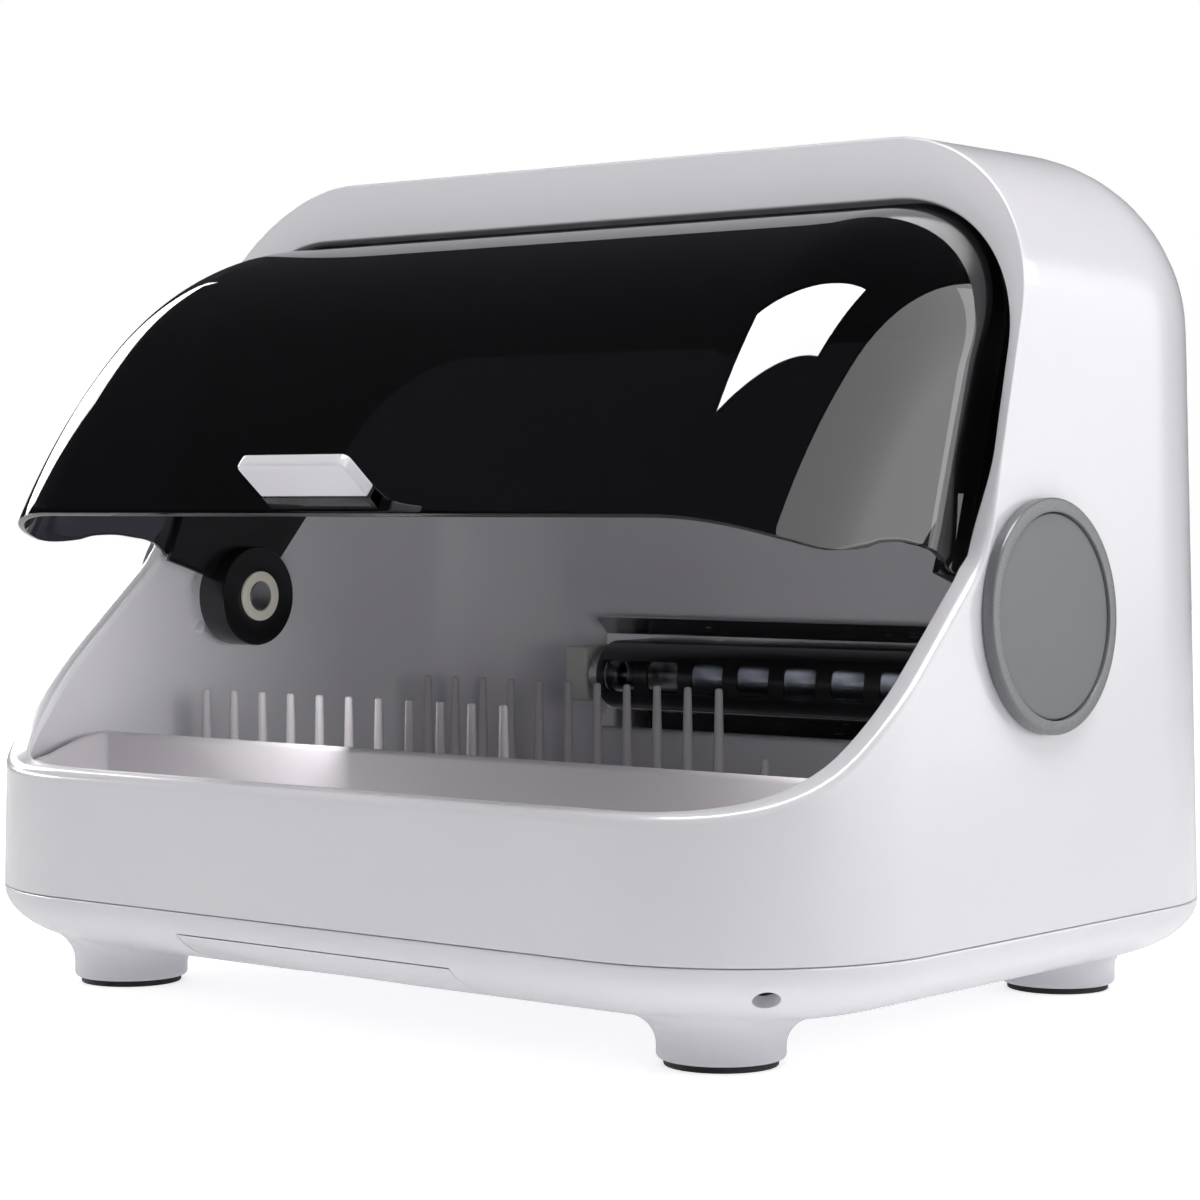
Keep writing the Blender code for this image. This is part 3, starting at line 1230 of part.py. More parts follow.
# Hinge hardware
def make_hinges():
    for side, sign in SIDES:
        at = (0, PIVOT_Y, PIVOT_Z)
        along = (0, sign * TO_X, 0)
        face = side_face_x(PIVOT_Z)
        head = face + PIN_HEAD_RADIUS * math.tan(SIDE_DRAFT) + PIECE_GAP
        end = HUB_INNER_X - BUSH_FLANGE_THICKNESS - PIECE_GAP
        pin = [
            (0, head + PIN_HEAD_THICKNESS),
            (PIN_HEAD_RADIUS, head + PIN_HEAD_THICKNESS),
            (PIN_HEAD_RADIUS, head),
            (PIN_RADIUS, head),
            (PIN_RADIUS, end),
            (0, end),
        ]
        new_object("hinge_pin_" + side, turned("hinge_pin_" + side, pin), steel, at, along)
        flange = HUB_INNER_X - PIECE_GAP
        bush = [
            (BUSH_RADIUS, HUB_OUTER_X),
            (BUSH_RADIUS, flange),
            (BUSH_FLANGE_RADIUS, flange),
            (BUSH_FLANGE_RADIUS, flange - BUSH_FLANGE_THICKNESS),
            (PIN_HOLE_RADIUS, flange - BUSH_FLANGE_THICKNESS),
            (PIN_HOLE_RADIUS, HUB_OUTER_X),
        ]
        new_object("hinge_bush_" + side, turned("hinge_bush_" + side, bush), acetal, at, along)
        washer_low = WASHER_OUTER_X - WASHER_THICKNESS
        washer = ring_profile(PIN_HOLE_RADIUS, WASHER_RADIUS, washer_low, WASHER_OUTER_X)
        name = "friction_washer_" + side
        new_object(name, turned(name, washer), rubber, at, along)
        # ring and cap sit square to the drafted side face
        seat = (sign * face, PIVOT_Y, PIVOT_Z)
        tilt = (0, sign * (TO_X - SIDE_DRAFT), 0)
        inner = RING_RADIUS - RING_WIDTH
        ring = ring_profile(inner, RING_RADIUS, PIECE_GAP, RING_HEIGHT, RING_EDGE_RADIUS)
        new_object("hinge_ring_" + side, turned("hinge_ring_" + side, ring), ring_grey, seat, tilt)
        rim = inner - PIECE_GAP
        room = PIN_HEAD_THICKNESS + 2 * (PIN_HEAD_RADIUS * math.tan(SIDE_DRAFT) + PIECE_GAP)
        hollow = PIN_HEAD_RADIUS + 2 * PIECE_GAP
        cap = [
            (0, CAP_THICKNESS),
            (rim - CAP_EDGE_RADIUS, CAP_THICKNESS),
            (rim, CAP_THICKNESS - CAP_EDGE_RADIUS),
            (rim, PIECE_GAP),
            (hollow, PIECE_GAP),
            (hollow, room + PIECE_GAP),
            (0, room + PIECE_GAP),
        ]
        new_object("hinge_cap_" + side, turned("hinge_cap_" + side, cap), grey_disc, seat, tilt)


# Lamp on the back wall
def strip_outline(points, thickness):
    """A bent strip of sheet: a line of points and its offset by the thickness."""
    points = [Vector(point) for point in points]
    offset = []
    for i, point in enumerate(points):
        before = points[max(i - 1, 0)]
        after = points[min(i + 1, len(points) - 1)]
        way = (after - before).normalized()
        offset.append(point + Vector((way.y, -way.x)) * thickness)
    return [tuple(p) for p in points] + [tuple(p) for p in reversed(offset)]


def make_lamp():
    tube = disc_profile(TUBE_RADIUS, -LAMP_HALF_LENGTH, LAMP_HALF_LENGTH)
    at = (0, LAMP_Y, LAMP_Z)
    new_object("uv_tube", turned("uv_tube", tube, SMALL_ROUND_STEPS), quartz, at, (0, TO_X, 0))
    cap_outer = TUBE_RADIUS + PIECE_GAP + LAMP_CAP_WALL
    closed_end = LAMP_HALF_LENGTH + PIECE_GAP
    cap_end = closed_end + LAMP_CAP_WALL
    holder_face = cap_end + PIECE_GAP
    half_length = holder_face + HOLDER_DEPTH
    for side, sign in SIDES:
        cap = [
            (0, cap_end),
            (cap_outer, cap_end),
            (cap_outer, closed_end - LAMP_CAP_LENGTH),
            (TUBE_RADIUS + PIECE_GAP, closed_end - LAMP_CAP_LENGTH),
            (TUBE_RADIUS + PIECE_GAP, closed_end),
            (0, closed_end),
        ]
        along = (0, sign * TO_X, 0)
        shell = turned("lamp_cap_" + side, cap, SMALL_ROUND_STEPS)
        lamp_cap = new_object("lamp_cap_" + side, shell, aluminium, at, along)
        pins, sockets = [], []
        for offset in (-LAMP_PIN_SPACING / 2, LAMP_PIN_SPACING / 2):
            low, high = cap_end - LAMP_CAP_WALL / 2, cap_end + LAMP_PIN_LENGTH
            pin = turned("contact_pin", disc_profile(LAMP_PIN_RADIUS, low, high), SMALL_ROUND_STEPS // 2)
            pin.transform(Matrix.Translation((0, offset, 0)))
            pins.append(pin)
            hole_profile = disc_profile(LAMP_PIN_RADIUS + PIECE_GAP, cap_end - CUT_OVERRUN, high + PIECE_GAP)
            hole = turned("contact_hole", hole_profile, SMALL_ROUND_STEPS // 2)
            hole.transform(Matrix.Translation((0, offset, 0)))
            sockets.append(hole)
        contacts = cutter("contact_pins_" + side, joined_mesh("contact_pins_" + side, pins), at, along)
        combine(lamp_cap, contacts, "UNION")
        low_x, high_x = sorted((sign * holder_face, sign * half_length))
        holder_low = (low_x, LAMP_Y - HOLDER_WIDTH / 2, LAMP_Z - HOLDER_HEIGHT / 2)
        holder_high = (high_x, REFLECTOR_BACK_Y - REFLECTOR_SHEET - PIECE_GAP, LAMP_Z + HOLDER_HEIGHT / 2)
        block = box_mesh("lamp_holder_" + side, holder_low, holder_high, HOLDER_BEVEL)
        holder = new_object("lamp_holder_" + side, block, white_nylon)
        holes = cutter("contact_holes_" + side, joined_mesh("contact_holes_" + side, sockets), at, along)
        combine(holder, holes, "DIFFERENCE")
    low_z, high_z = LAMP_Z - REFLECTOR_HEIGHT / 2, LAMP_Z + REFLECTOR_HEIGHT / 2
    reflector = strip_outline(
        (
            (REFLECTOR_BACK_Y - REFLECTOR_WING, low_z),
            (REFLECTOR_BACK_Y, low_z + REFLECTOR_WING),
            (REFLECTOR_BACK_Y, high_z - REFLECTOR_WING),
            (REFLECTOR_BACK_Y - REFLECTOR_WING, high_z),
        ),
        -REFLECTOR_SHEET,
    )
    new_object("lamp_reflector", prism("lamp_reflector", reflector, half_length), bright_sheet)
    make_guard(holder_face)


def make_guard(holder_face):
    """A slatted half tube in front of the lamp, hooked behind both holders' inner faces."""
    half_length = holder_face - LAMP_CAP_LENGTH - 3 * PIECE_GAP
    reach = REFLECTOR_BACK_Y - REFLECTOR_SHEET - PIECE_GAP
    arc = []
    for i in range(CORNER_STEPS + 1):
        angle = math.pi / 2 + math.pi * i / CORNER_STEPS
        arc.append((LAMP_Y + GUARD_RADIUS * math.cos(angle), LAMP_Z + GUARD_RADIUS * math.sin(angle)))
    line = [(reach, LAMP_Z + GUARD_RADIUS)] + arc + [(reach, LAMP_Z - GUARD_RADIUS)]
    sheet = prism("lamp_guard", strip_outline(line, -GUARD_SHEET), half_length)
    guard = new_object("lamp_guard", sheet, dark_carrier)
    pitch = 2 * half_length / GUARD_SLOTS
    bars = []
    for i in range(GUARD_SLOTS):
        x = -half_length + pitch * (i + 1 / 2)
        wide = pitch * GUARD_SLOT_SHARE / 2
        low = (x - wide, LAMP_Y - GUARD_RADIUS - GUARD_SHEET - CUT_OVERRUN, LAMP_Z - GUARD_RADIUS / 2)
        high = (x + wide, LAMP_Y, LAMP_Z + GUARD_RADIUS / 2)
        bars.append(box_mesh("guard_slot", low, high))
    combine(guard, cutter("guard_slots", joined_mesh("guard_slots", bars)), "DIFFERENCE")


# Electrics in the base and on the side wall
def make_electrics():
    floor = PAN_FLOOR + PIECE_GAP
    low = (-DRIVER_HALF_WIDTH, DRIVER_FRONT_Y, floor)
    high = (DRIVER_HALF_WIDTH, DRIVER_FRONT_Y + DRIVER_DEPTH, floor + DRIVER_HEIGHT)
    driver = new_object("driver_box", box_mesh("driver_box", low, high, DRIVER_BEVEL), white_nylon)
    ear_low = (-DRIVER_HALF_WIDTH - DRIVER_EAR_LENGTH, DRIVER_FRONT_Y + DRIVER_DEPTH / 3, floor)
    ear_high = (
        DRIVER_HALF_WIDTH + DRIVER_EAR_LENGTH,
        DRIVER_FRONT_Y + DRIVER_DEPTH * 2 / 3,
        floor + DRIVER_EAR_THICKNESS,
    )
    combine(driver, cutter("driver_ears", box_mesh("driver_ears", ear_low, ear_high)), "UNION")

    wall_x = side_face_x(SWITCH_Z + SWITCH_HEIGHT / 2) - WALL - PIECE_GAP
    low = (wall_x - SWITCH_DEPTH, SWITCH_Y - SWITCH_LENGTH / 2, SWITCH_Z - SWITCH_HEIGHT / 2)
    high = (wall_x, SWITCH_Y + SWITCH_LENGTH / 2, SWITCH_Z + SWITCH_HEIGHT / 2)
    switch = new_object("interlock_switch", box_mesh("interlock_switch", low, high), black_nylon)
    nib = disc_profile(SWITCH_NIB_RADIUS, -FUSE_DEPTH, SWITCH_NIB_LENGTH)
    nib_tool = turned("switch_nib", nib, SMALL_ROUND_STEPS // 2)
    seat = (wall_x - SWITCH_DEPTH, SWITCH_Y, SWITCH_Z)
    combine(switch, cutter("switch_nib", nib_tool, seat, (0, -TO_X, 0)), "UNION")

    rear = (INLET_X, BODY_DEPTH, REAR_FITTING_Z)
    inlet = [
        (INLET_CONTACT_RADIUS, PIECE_GAP),
        (INLET_CONTACT_RADIUS, -INLET_BORE_DEPTH),
        (INLET_BORE_RADIUS, -INLET_BORE_DEPTH),
        (INLET_BORE_RADIUS, PIECE_GAP + INLET_FLANGE_THICKNESS),
        (INLET_FLANGE_RADIUS, PIECE_GAP + INLET_FLANGE_THICKNESS),
        (INLET_FLANGE_RADIUS, PIECE_GAP),
        (INLET_RADIUS, PIECE_GAP),
        (INLET_RADIUS, -INLET_LENGTH),
        (0, -INLET_LENGTH),
    ]
    inlet.insert(0, (0, PIECE_GAP))
    turned_inlet = turned("power_inlet", inlet, SMALL_ROUND_STEPS)
    new_object("power_inlet", turned_inlet, black_nylon, rear, (TO_REAR, 0, 0))

    at = (BUTTON_X, BODY_DEPTH, REAR_FITTING_Z)
    bore = BUTTON_RADIUS + BUTTON_CLEARANCE
    bezel = [
        (BEZEL_FLANGE_RADIUS, PIECE_GAP + BEZEL_FLANGE_THICKNESS),
        (BEZEL_FLANGE_RADIUS, PIECE_GAP),
        (bore + BEZEL_WALL, PIECE_GAP),
        (bore + BEZEL_WALL, -WALL),
        (bore, -WALL),
        (bore, PIECE_GAP + BEZEL_FLANGE_THICKNESS),
    ]
    new_object("button_bezel", turned("button_bezel", bezel, SMALL_ROUND_STEPS), steel, at, (TO_REAR, 0, 0))
    switch_face = -(TONGUE_INSET + TONGUE_THICKNESS + PIECE_GAP)
    inner_end = switch_face + BUTTON_TRAVEL + PIECE_GAP
    edge = BUTTON_PROUD / 4
    cap = [
        (0, BUTTON_PROUD),
        (BUTTON_RADIUS - edge, BUTTON_PROUD),
        (BUTTON_RADIUS, BUTTON_PROUD - edge),
        (BUTTON_RADIUS, inner_end),
        (0, inner_end),
    ]
    new_object("power_button", turned("power_button", cap, SMALL_ROUND_STEPS), white_abs, at, (TO_REAR, 0, 0))
    high_y = BODY_DEPTH + switch_face
    half_width, half_height = SWITCH_BODY_WIDTH / 2, SWITCH_BODY_HEIGHT / 2
    low = (BUTTON_X - half_width, high_y - SWITCH_BODY_DEPTH, REAR_FITTING_Z - half_height)
    high = (BUTTON_X + half_width, high_y, REAR_FITTING_Z + half_height)
    new_object("button_switch", box_mesh("button_switch", low, high), black_nylon)


make_housing()
make_base()
make_drip_tray()
make_deck()
make_trough()
make_racks()
make_lid()
make_grip()
make_hinges()
make_lamp()
make_electrics()
bpy.context.view_layer.update()
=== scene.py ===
from math import acos, cos, hypot, pi, radians, sin, sqrt, tan

import bmesh
import bpy
import numpy as np
from mathutils import Matrix, Vector


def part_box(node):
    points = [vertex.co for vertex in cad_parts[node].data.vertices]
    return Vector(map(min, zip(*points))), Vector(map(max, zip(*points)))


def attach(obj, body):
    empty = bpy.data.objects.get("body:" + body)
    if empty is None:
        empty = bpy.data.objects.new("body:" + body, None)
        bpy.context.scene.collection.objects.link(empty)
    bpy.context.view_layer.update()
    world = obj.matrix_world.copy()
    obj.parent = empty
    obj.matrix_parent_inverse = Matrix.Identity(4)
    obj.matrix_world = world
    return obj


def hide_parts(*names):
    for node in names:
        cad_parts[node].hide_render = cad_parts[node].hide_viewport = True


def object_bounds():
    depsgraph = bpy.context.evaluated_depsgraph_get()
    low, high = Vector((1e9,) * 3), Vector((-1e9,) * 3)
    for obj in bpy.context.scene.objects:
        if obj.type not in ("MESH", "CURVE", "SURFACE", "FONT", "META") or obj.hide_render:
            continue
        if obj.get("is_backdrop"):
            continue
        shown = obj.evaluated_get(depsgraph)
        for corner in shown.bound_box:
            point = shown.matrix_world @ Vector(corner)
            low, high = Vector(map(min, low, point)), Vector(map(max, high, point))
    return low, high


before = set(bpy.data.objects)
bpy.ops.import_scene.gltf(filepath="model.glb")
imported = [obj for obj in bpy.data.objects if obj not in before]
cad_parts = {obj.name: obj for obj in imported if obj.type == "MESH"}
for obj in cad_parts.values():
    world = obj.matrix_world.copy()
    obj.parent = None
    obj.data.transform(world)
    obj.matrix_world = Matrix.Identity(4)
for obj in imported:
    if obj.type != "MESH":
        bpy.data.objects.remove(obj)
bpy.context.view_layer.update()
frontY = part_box("housing")[0].y  # metres; Y sizes below are measured back from the front face
mm = 0.001  # sizes are in millimetres, and a mesh is scaled to metres as it is made
weld = 0.002 * mm  # closer points of a mesh become one
crease = radians(32)  # edges over this stay sharp
print("frame loaded")


# Small tools
def linear(code):  # sRGB hex to linear
    values = [int(code[i:i + 2], 16) / 255 for i in (1, 3, 5)]
    return (*[v / 12.92 if v <= 0.04045 else ((v + 0.055) / 1.055) ** 2.4 for v in values], 1.0)


def newObject(name, data):
    made = bpy.data.objects.new(name, data)
    bpy.context.scene.collection.objects.link(made)
    return made


def blankTree(owner):
    owner.use_nodes = True
    owner.node_tree.nodes.clear()
    return owner.node_tree


def addNode(tree, kind, inputs=None, **settings):  # a node as an input stands for its first output
    made = tree.nodes.new("ShaderNode" + kind)
    for name, value in settings.items():
        setattr(made, name, value)
    for name, value in (inputs or {}).items():
        if isinstance(value, bpy.types.Node):
            value = value.outputs[0]
        if isinstance(value, bpy.types.NodeSocket):
            tree.links.new(value, made.inputs[name])
        else:
            made.inputs[name].default_value = value
    return made


def newMaterial(name):  # its empty tree, and the place on the piece in metres
    material = bpy.data.materials.new(name)
    tree = blankTree(material)
    return material, tree, addNode(tree, "TexCoord").outputs["Object"]


def unit(vectors):
    return vectors / np.linalg.norm(vectors, axis=-1, keepdims=True)


def ease(value, low, high):
    share = np.clip((value - low) / (high - low), 0.0, 1.0)
    return share * share * (3 - 2 * share)


def bend(first, corner, last, steps):  # points between first and last, pulled towards the corner
    shares = np.linspace(0, 1, steps + 2)[1:-1, None]
    return (1 - shares) ** 2 * first + 2 * shares * (1 - shares) * corner + shares ** 2 * last


def smoothed(mesh):
    mesh.shade_smooth()
    mesh.set_sharp_from_angle(angle=crease)
    return mesh


def cleaned(shape, scale=mm):
    bmesh.ops.scale(shape, vec=(scale, scale, scale), verts=shape.verts)
    bmesh.ops.remove_doubles(shape, verts=shape.verts, dist=weld)
    bmesh.ops.recalc_face_normals(shape, faces=shape.faces)
    mesh = bpy.data.meshes.new("piece")
    shape.to_mesh(mesh)
    shape.free()
    return smoothed(mesh)


# Solid through equal rings; an open one gets a cap at each end
def loft(rings, closed=False):
    shape = bmesh.new()
    rows = [[shape.verts.new(tuple(p)) for p in ring] for ring in rings]
    count = len(rows[0])
    pairs = list(zip(rows, rows[1:])) + ([(rows[-1], rows[0])] if closed else [])
    for low, high in pairs:
        for i in range(count):
            j = (i + 1) % count
            shape.faces.new((low[i], low[j], high[j], high[i]))
    if not closed:
        shape.faces.new(rows[0][::-1])
        shape.faces.new(rows[-1])
    return cleaned(shape)


# Solid of revolution about Z; a profile point is (radius, z), or (radius, z, round) at a soft corner
def turned(profile, steps=64, arc=2):
    points = []
    for i, corner in enumerate(profile):
        before, here, after = (np.array(profile[(i + k) % len(profile)][:2]) for k in (-1, 0, 1))
        if len(corner) < 3:
            points.append(here)
            continue
        first, last = (here + unit(near - here) * corner[2] for near in (before, after))
        points += [first, *bend(first, here, last, arc), last]
    angles = [2 * pi * i / steps for i in range(steps)]
    shape = bmesh.new()
    rows = []
    for radius, z in points:
        ring = [(radius * cos(a), radius * sin(a), z) for a in angles] if radius else [(0, 0, z)]
        rows.append([shape.verts.new(p) for p in ring])
    onAxis = profile[0][0] == 0
    for one, two in list(zip(rows, rows[1:])) + ([] if onAxis else [(rows[-1], rows[0])]):
        for i in range(steps):
            j = (i + 1) % steps
            around = (one[i % len(one)], one[j % len(one)], two[j % len(two)], two[i % len(two)])
            corners = list(dict.fromkeys(around))
            if len(corners) > 2:
                shape.faces.new(corners)
    return cleaned(shape)


def block(low, high, bevel=0.0):
    low, high = Vector(low), Vector(high)
    shape = bmesh.new()
    bmesh.ops.create_cube(shape, size=1.0)
    bmesh.ops.transform(shape, matrix=Matrix.Diagonal((*(high - low), 1.0)), verts=shape.verts)
    bmesh.ops.translate(shape, vec=(low + high) / 2, verts=shape.verts)
    if bevel:
        bmesh.ops.bevel(shape, geom=shape.edges[:], offset=bevel, segments=3, affect="EDGES", profile=0.5)
    return cleaned(shape)


def evaluated(piece):
    bpy.context.view_layer.update()
    return bpy.data.meshes.new_from_object(piece.evaluated_get(bpy.context.evaluated_depsgraph_get()))


# Flat plate in XY about z = 0 with rounded edges; the later outlines are holes
def plate(outlines, thickness, edge=0.0):
    curve = bpy.data.curves.new("plate", "CURVE")
    curve.dimensions = "2D"
    curve.fill_mode = "BOTH"
    curve.extrude = (thickness / 2 - edge) * mm
    curve.bevel_depth = edge * mm
    curve.bevel_resolution = 2
    curve.offset = -edge * mm
    for outline in outlines:
        spline = curve.splines.new("POLY")
        spline.points.add(len(outline) - 1)
        for point, (x, y) in zip(spline.points, outline):
            point.co = (x * mm, y * mm, 0, 1)
        spline.use_cyclic_u = True
    guide = newObject("plate", curve)
    shape = bmesh.new()
    shape.from_mesh(evaluated(guide))
    bpy.data.objects.remove(guide)
    return cleaned(shape, 1)


def prism(outline, halfLength, edge=0.0):  # constant YZ section along X
    mesh = plate([outline], 2 * halfLength, edge)
    mesh.transform(Matrix(((0, 0, 1, 0), (1, 0, 0, 0), (0, 1, 0, 0), (0, 0, 0, 1))))
    return mesh


def joined(meshes):
    shape = bmesh.new()
    for mesh in meshes:
        shape.from_mesh(mesh)
    return cleaned(shape, 1)


# Mesh after modifiers; each change is (kind, settings), and a tool mesh becomes a Boolean's object
def finished(mesh, changes):
    piece = newObject("piece", mesh)
    tools = []
    for kind, settings in changes:
        change = piece.modifiers.new(kind, kind)
        for key, value in settings.items():
            if key == "object":
                value = newObject("tool", value)
                tools.append(value)
            setattr(change, key, value)
    made = evaluated(piece)
    for old in tools + [piece]:
        bpy.data.objects.remove(old)
    return smoothed(made)


def boolean(operation, tool):
    return ("BOOLEAN", {"operation": operation, "object": tool, "solver": "EXACT"})


def softEdges(width, segments):
    return ("BEVEL", {
        "width": width * mm, "segments": segments, "limit_method": "ANGLE", "angle_limit": radians(50),
        "use_clamp_overlap": True,
    })


def placed(mesh, location=(0, 0, 0), turn=Matrix.Identity(3)):
    mesh.transform(Matrix.Translation(Vector(location) * mm) @ turn.to_4x4())
    return mesh


# A piece in front-face coordinates goes to the frame, rides its body and stands for its CAD nodes
def addPiece(name, mesh, body, finish, slotName, *nodes):
    mesh.name = name
    mesh.transform(Matrix.Translation((0, frontY, 0)))
    mesh.materials.clear()
    mesh.materials.append(finish)
    piece = newObject(name, mesh)
    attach(piece, body)
    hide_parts(*nodes)


def roundedRectangle(halfWidth, front, rear, frontRadius, rearRadius, steps=20):
    corners = (
        (halfWidth - frontRadius, front + frontRadius, frontRadius, -90),
        (halfWidth - rearRadius, rear - rearRadius, rearRadius, 0),
        (rearRadius - halfWidth, rear - rearRadius, rearRadius, 90),
        (frontRadius - halfWidth, front + frontRadius, frontRadius, 180),
    )
    points = []
    for x, y, radius, start in corners:
        for i in range(steps + 1):
            angle = radians(start + 90 * i / steps)
            points.append((x + radius * cos(angle), y + radius * sin(angle)))
    return points


sides = (("left", -1), ("right", 1))


# Moulded shell: a drafted box, rolled over at the sides and the back, with the opening cut on a slant
draftAngle = radians(1.7)
shell = {
    "width": 420, "depth": 320, "height": 319.7, "seam": 39, "draft": tan(draftAngle), "wall": 3,
    "planRadius": 80, "topSide": 67, "topRear": 70, "topPlan": 12, "rim": 8.8, "lip": 87,
    "riserStart": 30.5, "riserSlope": tan(radians(42.3)), "riserFoot": 78, "riserHead": 50,
    "frameTop": 166, "frameLean": 0.30, "band": 23.4, "bandCorner": 58, "bandSide": 3.4,
    "narrowLow": 165, "narrowHigh": 215, "rimEdge": 3.8, "bandEdge": 1.3, "innerEdge": 1.0,
    "seamEdge": 0.5, "deckTop": 61.1,
}


def halfSection(z, inset):
    top = shell["height"] - inset
    side, rear = shell["topSide"] - inset, shell["topRear"] - inset
    sideRise = np.clip(z - (top - side), 0, side)
    rearRise = np.clip(z - (top - rear), 0, rear)
    sideDrop = side - np.sqrt(side ** 2 - sideRise ** 2)
    rearDrop = rear - np.sqrt(rear ** 2 - rearRise ** 2)
    half = shell["width"] / 2 - inset - shell["draft"] * (z - shell["seam"]) - sideDrop
    corner = shell["planRadius"] - inset
    cornerX = corner - (corner - shell["topPlan"]) * sideDrop / side
    cornerY = corner - (corner - shell["topPlan"]) * rearDrop / rear
    return half, shell["depth"] - inset - rearDrop, cornerX, cornerY


def halfWidth(z):
    return float(halfSection(z, 0)[0])


def outside(points, inset):
    x, y, z = np.abs(points[..., 0]), points[..., 1], points[..., 2]
    half, rear, cornerX, cornerY = halfSection(z, inset)
    found = (z > shell["height"] - inset) | (x > half) | (y > rear) | (y < inset)
    fromX = np.clip((x - (half - cornerX)) / cornerX, 0, None)
    fromRear = np.clip((y - (rear - cornerY)) / cornerY, 0, None)
    fromFront = np.clip((inset + cornerX - y) / cornerX, 0, None)
    return found | (fromX ** 2 + fromRear ** 2 > 1) | (fromX ** 2 + fromFront ** 2 > 1)


# Rays from a core point find the wall's surface by halving
def coreOf(x):
    spread = (shell["width"] / 2 - shell["planRadius"]) * 0.92
    return np.array((min(x, spread), shell["depth"] / 2, shell["height"] / 2))


def onSurface(core, rays, inset):
    near, far = np.zeros(rays.shape[:-1]), np.full(rays.shape[:-1], float(shell["width"]))
    for _ in range(40):
        middle = (near + far) / 2
        out = outside(core + rays * middle[..., None], inset)
        far, near = np.where(out, middle, far), np.where(out, near, middle)
    return core + rays * near[..., None]


def surfacePath(core, start, end, inset, samples=260):
    a, b = unit(start - core), unit(end - core)
    turn = acos(float(np.clip(a @ b, -1, 1)))
    shares = np.linspace(0, 1, samples)[:, None]
    rays = (np.sin((1 - shares) * turn) * a + np.sin(shares * turn) * b) / sin(turn)
    path = onSurface(core, rays, inset)
    path[0], path[-1] = start, end
    return path


def spaced(path, count, trim=0.0, bendWeight=55):  # points along a path, closer where it bends
    steps = np.linalg.norm(np.diff(path, axis=0), axis=1)
    ways = unit(np.diff(path, axis=0))
    bends = np.arccos(np.clip((ways[1:] * ways[:-1]).sum(axis=1), -1, 1))
    length = np.concatenate([[0], np.cumsum(steps)])
    weight = np.zeros(len(path))
    weight[1:] += steps
    weight[1:-1] += bends * bendWeight
    measure = np.cumsum(weight)
    stop = np.interp(length[-1] - trim, length, measure)
    at = np.interp(np.linspace(0, stop, count), measure, length)
    return np.stack([np.interp(at, length, path[:, i]) for i in range(3)], axis=1)


def frameY(z):
    return shell["frameTop"] - shell["frameLean"] * (shell["height"] - z)


def filleted(corners, radii, steps=90):
    points = [np.array(corners[0])]
    for i, radius in enumerate(radii, start=1):
        before, here, after = (np.array(corners[i + k]) for k in (-1, 0, 1))
        into, out = unit(before - here), unit(after - here)
        half = acos(float(np.clip(into @ out, -1, 1))) / 2
        centre = here + unit(into + out) * radius / sin(half)
        first, last = (here + way * radius / tan(half) - centre for way in (into, out))
        for share in np.linspace(0, 1, steps):
            points.append(centre + unit(first * (1 - share) + last * share) * radius)
    points.append(np.array(corners[-1]))
    return np.array(points)


# The rim seen from the side: lip, riser and frame, where the riser's line meets the frame's
slope, lean, lip = shell["riserSlope"], shell["frameLean"], shell["lip"]
headRise = slope * (shell["frameTop"] - lean * shell["height"] - shell["riserStart"])
headZ = (lip + headRise) / (1 - slope * lean)
rimProfile = filleted(
    ((0, lip), (shell["riserStart"], lip), (frameY(headZ), headZ), (shell["frameTop"], shell["height"])),
    (shell["riserFoot"], shell["riserHead"]),
)
rimLengths = np.concatenate([[0], np.cumsum(np.linalg.norm(np.diff(rimProfile, axis=0), axis=1))])


